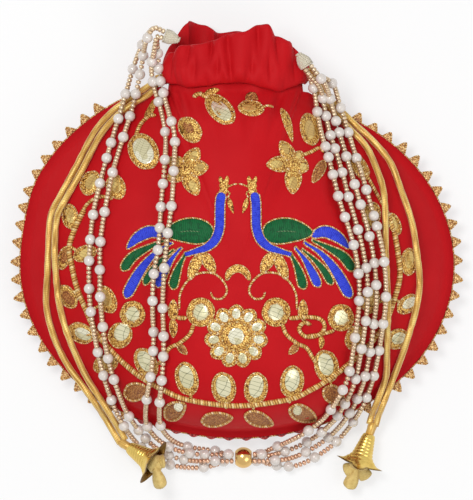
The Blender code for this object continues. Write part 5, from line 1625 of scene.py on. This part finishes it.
# %% Strap routes
STRAND_DIAMETER = 0.0030
BALL_DIAMETER = 0.0106
BALL_FACE = 0.0066
BALL_PLACE = (3.2, -96.6)
TIE_DIAMETER = 0.0068
TIE_LENGTH = 0.0080
TIES = {"left": ((-5.25, 112.0), (2.75, 114.6)), "right": ((-2.05, 105.6), (1.95, 100.2))}
QUARTERS = ((1, -1), (1, 1), (-1, 1), (-1, -1))
STRANDS = {"left": (
    ((-39.5, 105), (-39, 96), (-37, 87), (-34, 76), (-31, 64), (-31.5, 47), (-32.5, 30), (-34.5, 15),
     (-36, 0), (-37, -20), (-36.5, -36), (-37, -52), (-38.5, -68), (-38.5, -79), (-35.5, -85),
     (-30.5, -89), (-24, -91.3), (-17, -92.4), (-10, -93.4)),
    ((-41.5, 106), (-42.8, 98), (-41.2, 88), (-37.8, 77), (-35.5, 64), (-36, 50), (-37.7, 30), (-39, 10),
     (-41.5, -6), (-42, -22), (-41.5, -37), (-42.5, -52), (-45, -67), (-45.5, -78.5), (-42, -85),
     (-36.5, -89.7), (-29.5, -93), (-21, -94.8), (-12, -95.2)),
    ((-45.5, 111), (-47.6, 100), (-50, 88), (-53.3, 75), (-58, 60), (-62, 46), (-65.5, 29), (-68, 12),
     (-68.3, -3), (-68, -18), (-66.5, -34), (-64, -48), (-60.5, -60), (-55.5, -73), (-49.5, -82.5),
     (-43.5, -89.3), (-36.5, -94.4), (-28.5, -97.3), (-20, -98.3), (-12, -98.2)),
    ((-46.5, 112), (-51.5, 100), (-55, 88), (-59.3, 73), (-64, 57), (-68, 42), (-71.5, 26), (-73.3, 10),
     (-73.8, -6), (-73, -22), (-70.5, -38), (-67.5, -52), (-64, -64), (-59.5, -75.5), (-53.8, -85),
     (-47, -92.5), (-39.5, -98), (-30, -101), (-20, -101.7), (-12, -100.6)),
), "right": (
    ((38.5, 87), (40, 77), (42, 66), (45, 56), (48, 44), (51, 32), (55, 20), (58.5, 8),
     (60.5, -5), (60.8, -19), (59.3, -32), (57.5, -45), (55, -57), (49.5, -68), (43, -77), (34, -84),
     (24.5, -89), (15.5, -93)),
    ((41.5, 88), (43.8, 78), (46, 67), (49.5, 56), (53, 44), (56, 32), (59.5, 20), (62.5, 8),
     (64.7, -5), (65, -19), (63.5, -32), (61.5, -45), (58.8, -58), (53, -71), (45.5, -81), (35.5, -88.5),
     (25.5, -93), (16, -95.6)),
    ((44.5, 89), (47.6, 79), (50.5, 68), (54, 56), (57.5, 44), (61, 32), (64.5, 20), (67.3, 8),
     (69, -5), (69.3, -19), (67.8, -32), (66, -45), (63, -59), (57, -73), (48, -84.5), (37, -92.5),
     (26.5, -97), (17, -98)),
    ((47.8, 90.5), (51.4, 80), (54.8, 69), (58.5, 57), (62.3, 45), (66, 32), (69.5, 20),
     (72.3, 8), (74, -6), (74, -20), (72.3, -33), (70.3, -46), (67, -60), (60.5, -75), (50.5, -88),
     (38.5, -96.8), (27.5, -101), (16, -99.8)),
)}
print("strands:", sum(len(routes) for routes in STRANDS.values()))

# %% [markdown]
# ## Pearls along the strands
# The pearls were counted off the photograph, strand by strand. Seed beads of silver-lined glass
# fill the string between them at their own pitch.

# %% Pearl places
# Places of the pearls along each strand as seen from above, in millimetres from its tie
PEARLS = {"left": (
    (6.5, 14, 20.5, 26.5, 41.5, 52, 66.5, 84, 97.5, 115, 135, 149, 159, 171, 182, 194, 212, 226, 233),
    (12, 22, 32.5, 48, 62, 74, 85.5, 96, 107, 119, 132.5, 148, 157.5, 170.5, 182, 196, 211, 222, 229.5,
     241.5),
    (8, 17, 26.5, 36.5, 48, 59, 77.5, 97.5, 112.5, 126.5, 140, 155, 171, 182, 202, 210.5, 216, 230.5,
     238.5, 254),
    (13, 26, 39, 52, 64.5, 72.5, 85.5, 101.5, 114, 124.5, 138.5, 150, 170.5, 182.5, 195.5, 210, 224, 241,
     258, 268.5),
), "right": (
    (10.5, 22.5, 40.5, 46, 55, 66, 77, 91.5, 106, 119.5, 138, 155, 165, 176.5, 192, 209.5, 219.5),
    (17.5, 26.5, 36.5, 43.5, 56, 68.5, 85.5, 105, 117, 131.5, 145.5, 161, 174.5, 181.5, 193, 202, 214, 226),
    (9, 20, 31.5, 37.5, 50, 64.5, 75, 91.5, 105, 116, 135.5, 149.5, 162, 174, 182, 198.5, 212, 228),
    (14, 27, 40, 53.5, 70, 83.5, 89, 107, 124.5, 138, 151.5, 164.5, 176, 190, 203, 216.5, 230.5, 236.5, 247),
)}
# Length of each strand as seen from above
TOTALS = {"left": (235.7, 244.2, 263.5, 273.7), "right": (222.8, 230.5, 239.2, 248.9)}
print("pearls:", sum(len(places) for side in SIDES for places in PEARLS[side]))

# %% [markdown]
# ## Bead and thread finishes
# A pearl is a cloudy white under a clear coat. The glass beads are lined with silver, champagne on
# most of the string and a rosier copper near the ball. The ties are wound ivory thread.

# %% Bead and thread finishes


def pearl_coat():
    paint = Paint("pearl_coat", colour(226, 219, 211), Coat_Weight=1.0, Coat_Roughness=0.12, Roughness=0.3,
                  Sheen_Weight=0.1)
    cloud = paint.node("ShaderNodeTexNoise", None, {"Vector": paint.place(), "Scale": 160.0, "Detail": 2.0})
    paint.feed(Base_Color=paint.blend(cloud, colour(232, 226, 220), colour(208, 196, 186)),
               Roughness=cloud * 0.2 + 0.2, Normal=paint.bump(cloud, 0.0001, 0.2))
    return paint.material


def glass_seed():
    paint = Paint("silver_lined_glass", colour(216, 184, 146), Metallic=0.55, Roughness=0.22, Coat_Weight=0.5)
    shade = paint.node("ShaderNodeTexNoise", None, {"Vector": paint.place(), "Scale": 520.0, "Detail": 1.0})
    champagne = paint.blend(shade, colour(176, 138, 92), colour(250, 232, 200))
    rose = paint.blend(shade, colour(172, 108, 76), colour(250, 206, 172))
    paint.feed(Base_Color=paint.blend(paint.attribute("tone"), champagne, rose),
               Roughness=shade * 0.3 + 0.1, Normal=paint.bump(shade, 0.0002, 0.4))
    return paint.material


def ivory_thread():
    paint = Paint("ivory_thread", colour(236, 228, 204), Sheen_Weight=0.3, Roughness=0.6)
    wound = paint.wave(paint.attribute("along"), 0.0010)
    fuzz = paint.node("ShaderNodeTexNoise", None, {"Vector": paint.place(), "Scale": 600.0, "Detail": 3.0})
    paint.feed(Base_Color=paint.blend(wound * 0.4 + fuzz * 0.4, colour(244, 238, 218), colour(186, 166, 130)),
               Roughness=fuzz * 0.3 + 0.45, Normal=paint.bump(wound + fuzz * 0.5, 0.0004, 0.8))
    return paint.material


PEARL, SEED, THREAD = pearl_coat(), glass_seed(), ivory_thread()
PEARL_SIZE = 0.0054
SEED_WIDE, SEED_PITCH = 0.0028, 0.0019
PEARL_ROWS = ((-0.98, 0.17), (-0.90, 0.44), (-0.72, 0.70), (-0.42, 0.91), (0.0, 1.0), (0.42, 0.91),
              (0.72, 0.70), (0.90, 0.44), (0.98, 0.17))
SEED_ROWS = ((-1.0, 0.55), (-0.72, 0.92), (0.72, 0.92), (1.0, 0.55))


def bead(bench, centre, direction, rows, length, size, material, sides, tone=0.0):
    """A turned bead on its string."""
    turn = direction.to_track_quat("Z", "Y").to_matrix()
    angles = [2 * pi * step / sides for step in range(sides)]
    shape = [[centre + turn @ Vector((size / 2 * wide * cos(angle), size / 2 * wide * sin(angle),
                                      length / 2 * share)) for angle in angles] for share, wide in rows]
    bench.rings(shape, material, tone=tone)


print("pearl", PEARL_SIZE, "seed", SEED_WIDE, "pitch", SEED_PITCH)

# %% [markdown]
# ## The ball
# One brass ball joins both sides of the strap. The strands enter it from the left and the right,
# where it is cut flat. It is lofted in rings along X, because a sphere would have to be cut first.

# %% Ball
ball_centre = Vector((BALL_PLACE[0] * MM, BALL_PLACE[1] * MM, BALL_DIAMETER / 2))
bench = Bench("strap_ball_brass")
edge_turn = atan2(sqrt((BALL_DIAMETER / 2) ** 2 - (BALL_FACE / 2) ** 2), BALL_FACE / 2)
ball_rows = []
for step in range(21):
    angle = -edge_turn + 2 * edge_turn * step / 20
    ball_rows.append([ball_centre + BALL_DIAMETER / 2 * Vector((
        sin(angle), cos(angle) * cos(pi * k / 20), cos(angle) * sin(pi * k / 20))) for k in range(40)])
bench.rings(ball_rows, BALL_METAL)
bench.finish(["strap_ball"])

# %% [markdown]
# ## Stringing the beads
# The beads are strung along the path that the CAD strand takes. The pearls' places were measured
# from above, so they are carried over to the true length of the string first. Near the ball the
# glass turns to a rosier copper, as the strands on the real strap do.

# %% Stringing
PEARL_LIFT = 0.6 * MM


def strung(bench, path, pearls, total):
    """Pearls at their places and seed beads between them, along a path."""
    plan = [0.0]
    true = [0.0]
    for one, two in zip(path, path[1:]):
        plan.append(plan[-1] + hypot(two.x - one.x, two.y - one.y))
        true.append(true[-1] + (two - one).length)

    def locate(table, wanted):
        index = next((place for place in range(1, len(table)) if table[place] >= wanted), len(table) - 1)
        share = (wanted - table[index - 1]) / max(table[index] - table[index - 1], 1e-9)
        return index, min(max(share, 0.0), 1.0)

    def spot(wanted):
        index, share = locate(true, wanted)
        return path[index - 1].lerp(path[index], share), (path[index] - path[index - 1]).normalized()

    def on_string(wanted):
        index, share = locate(plan, wanted)
        return true[index - 1] + (true[index] - true[index - 1]) * share

    places = [on_string(max(plan[-1] - (total - pearl) * MM, 0.0)) for pearl in pearls]
    seeds = 0
    edges = [-PEARL_SIZE / 2] + places + [true[-1] + PEARL_SIZE / 2]
    for start, end in zip(edges, edges[1:]):
        room = end - start - PEARL_SIZE
        count = int(room / SEED_PITCH + 0.3)
        for index in range(count):
            wanted = start + PEARL_SIZE / 2 + room * (index + 0.5) / count
            centre, direction = spot(wanted)
            rosy = smooth_step((-centre.y / MM - 82) / 10) * 0.8 + 0.2 * abs(noise.noise(centre * 900))
            bead(bench, centre, direction, SEED_ROWS, SEED_PITCH * 0.94, SEED_WIDE, SEED, 8, rosy)
            seeds += 1
    for wanted in places:
        centre, direction = spot(wanted)
        bead(bench, centre + PEARL_LIFT * UP, direction, PEARL_ROWS, PEARL_SIZE, PEARL_SIZE, PEARL, 14)
    return seeds


print("room for seeds between two pearls 15 mm apart:", int((15 * MM - PEARL_SIZE) / SEED_PITCH + 0.3))

# %% [markdown]
# ## Thread ties
# All four strings of a side are bound in one tie of ivory thread, a spindle with three windings
# laid round it. Windings of real geometry give the tie its ragged outline, which a bump in the
# material alone would not.

# %% Ties
WINDINGS = ((0.05, 0.95), (0.2, 0.9), (0.3, 1.0))       # the part of the tie that each one covers


def tie_place(side, out):
    """Where a tie starts, and its direction."""
    (x0, y0), (x1, y1) = TIES[side]
    along = Vector((out * (x1 - x0), y1 - y0, 0.0)).normalized()
    heights = [vert.co.z for vert in nodes[f"strap_tie_{side}"].data.vertices]
    middle = (min(heights) + max(heights)) / 2
    return Vector((NECK_X + out * (NECK_HALF_WIDTH + x0 * MM), y0 * MM, middle)), along


def spindle(share):
    swell = 0.30 + 0.70 * smooth_step((share + 0.05) / 0.75) - 0.30 * smooth_step((share - 0.85) / 0.3)
    return TIE_DIAMETER / 2 * swell


def thread_tie(side, start, along):
    bench = Bench(f"thread_tie_{side}")
    bench.sweep([start + along * (TIE_LENGTH * step / 16) for step in range(17)], spindle, THREAD, sides=14)
    across = along.cross(UP)
    for index, (first, last) in enumerate(WINDINGS):
        wrap = []
        for step in range(60):
            share = first + (last - first) * step / 59
            radius = TIE_DIAMETER / 2 * (0.34 + 0.62 * smooth_step((share + 0.05) / 0.75))
            angle = 2.1 * index + step * 0.62
            wrap.append(start + along * (TIE_LENGTH * share) + across * (radius * cos(angle))
                        + UP * (radius * sin(angle)))
        bench.sweep(wrap, 0.00045, THREAD, sides=5)
    bench.finish([f"strap_tie_{side}"])


print("widest part of a tie:", round(2 * max(spindle(step / 16) for step in range(17)), 4))

# %% [markdown]
# ## Strands
# Each strand leaves one quarter of its tie, follows its route and enters the same quarter of the ball's face.
# The bead strings are limp cords that hold on to the ball; each keeps its own path, and its length is
# printed.

# %% Strands
strands = []
for side in SIDES:
    out = -1 if side == "left" else 1
    start, along = tie_place(side, out)
    thread_tie(side, start, along)
    across = along.cross(UP).normalized()
    spread = STRAND_DIAMETER / 2 + 0.00025
    face = ball_centre.x + out * (sqrt((BALL_DIAMETER / 2) ** 2 - (BALL_FACE / 2) ** 2) + 2 * SEAT_GAP)
    for rank, route in enumerate(STRANDS[side]):
        flank, over = QUARTERS[rank]
        leave = start + along * (TIE_LENGTH + SEAT_GAP) + across * (out * flank * spread)
        leave.z += over * spread
        meet = Vector((face, ball_centre.y + flank * spread, ball_centre.z + over * spread))
        first = leave + along * (0.003 if flank > 0 else 0.006)
        plan = [(leave.x, leave.y), (first.x, first.y)] + [(x * MM, y * MM) for x, y in route]
        plan += [(meet.x + out * 4.5 * MM, meet.y), (meet.x, meet.y)]
        path = laid_path(f"strap_strand_{side}_{rank + 1}", plan, leave.z, meet.z, STRAND_DIAMETER / 2)
        bench = Bench(f"beads_{side}_{rank + 1}")
        bench.sweep(path[::2] + path[-1:], 0.00035, THREAD, sides=5)
        seeds = strung(bench, path, PEARLS[side][rank], TOTALS[side][rank])
        made = bench.finish([f"strap_strand_{side}_{rank + 1}"])
        strands.append((made, path))
        print("strand", side, rank + 1, "length", round(length_of(path), 4), "seeds", seeds)

for made, path in strands:
    length_of(path)

# %% [markdown]
# ## Cloth areas
# The two panels and the frill strip are sheets of cloth, cut flat and then gathered. The area of each
# finished mesh is printed.

# %% Sheets and finish


def area_of(made):
    bm = bmesh.new()
    bm.from_mesh(made.data)
    area = sum(face.calc_area() for face in bm.faces)
    bm.free()
    return area


for made in (front_cloth, back_cloth, neck_frill):
    print(made.name, "area", round(area_of(made), 5))
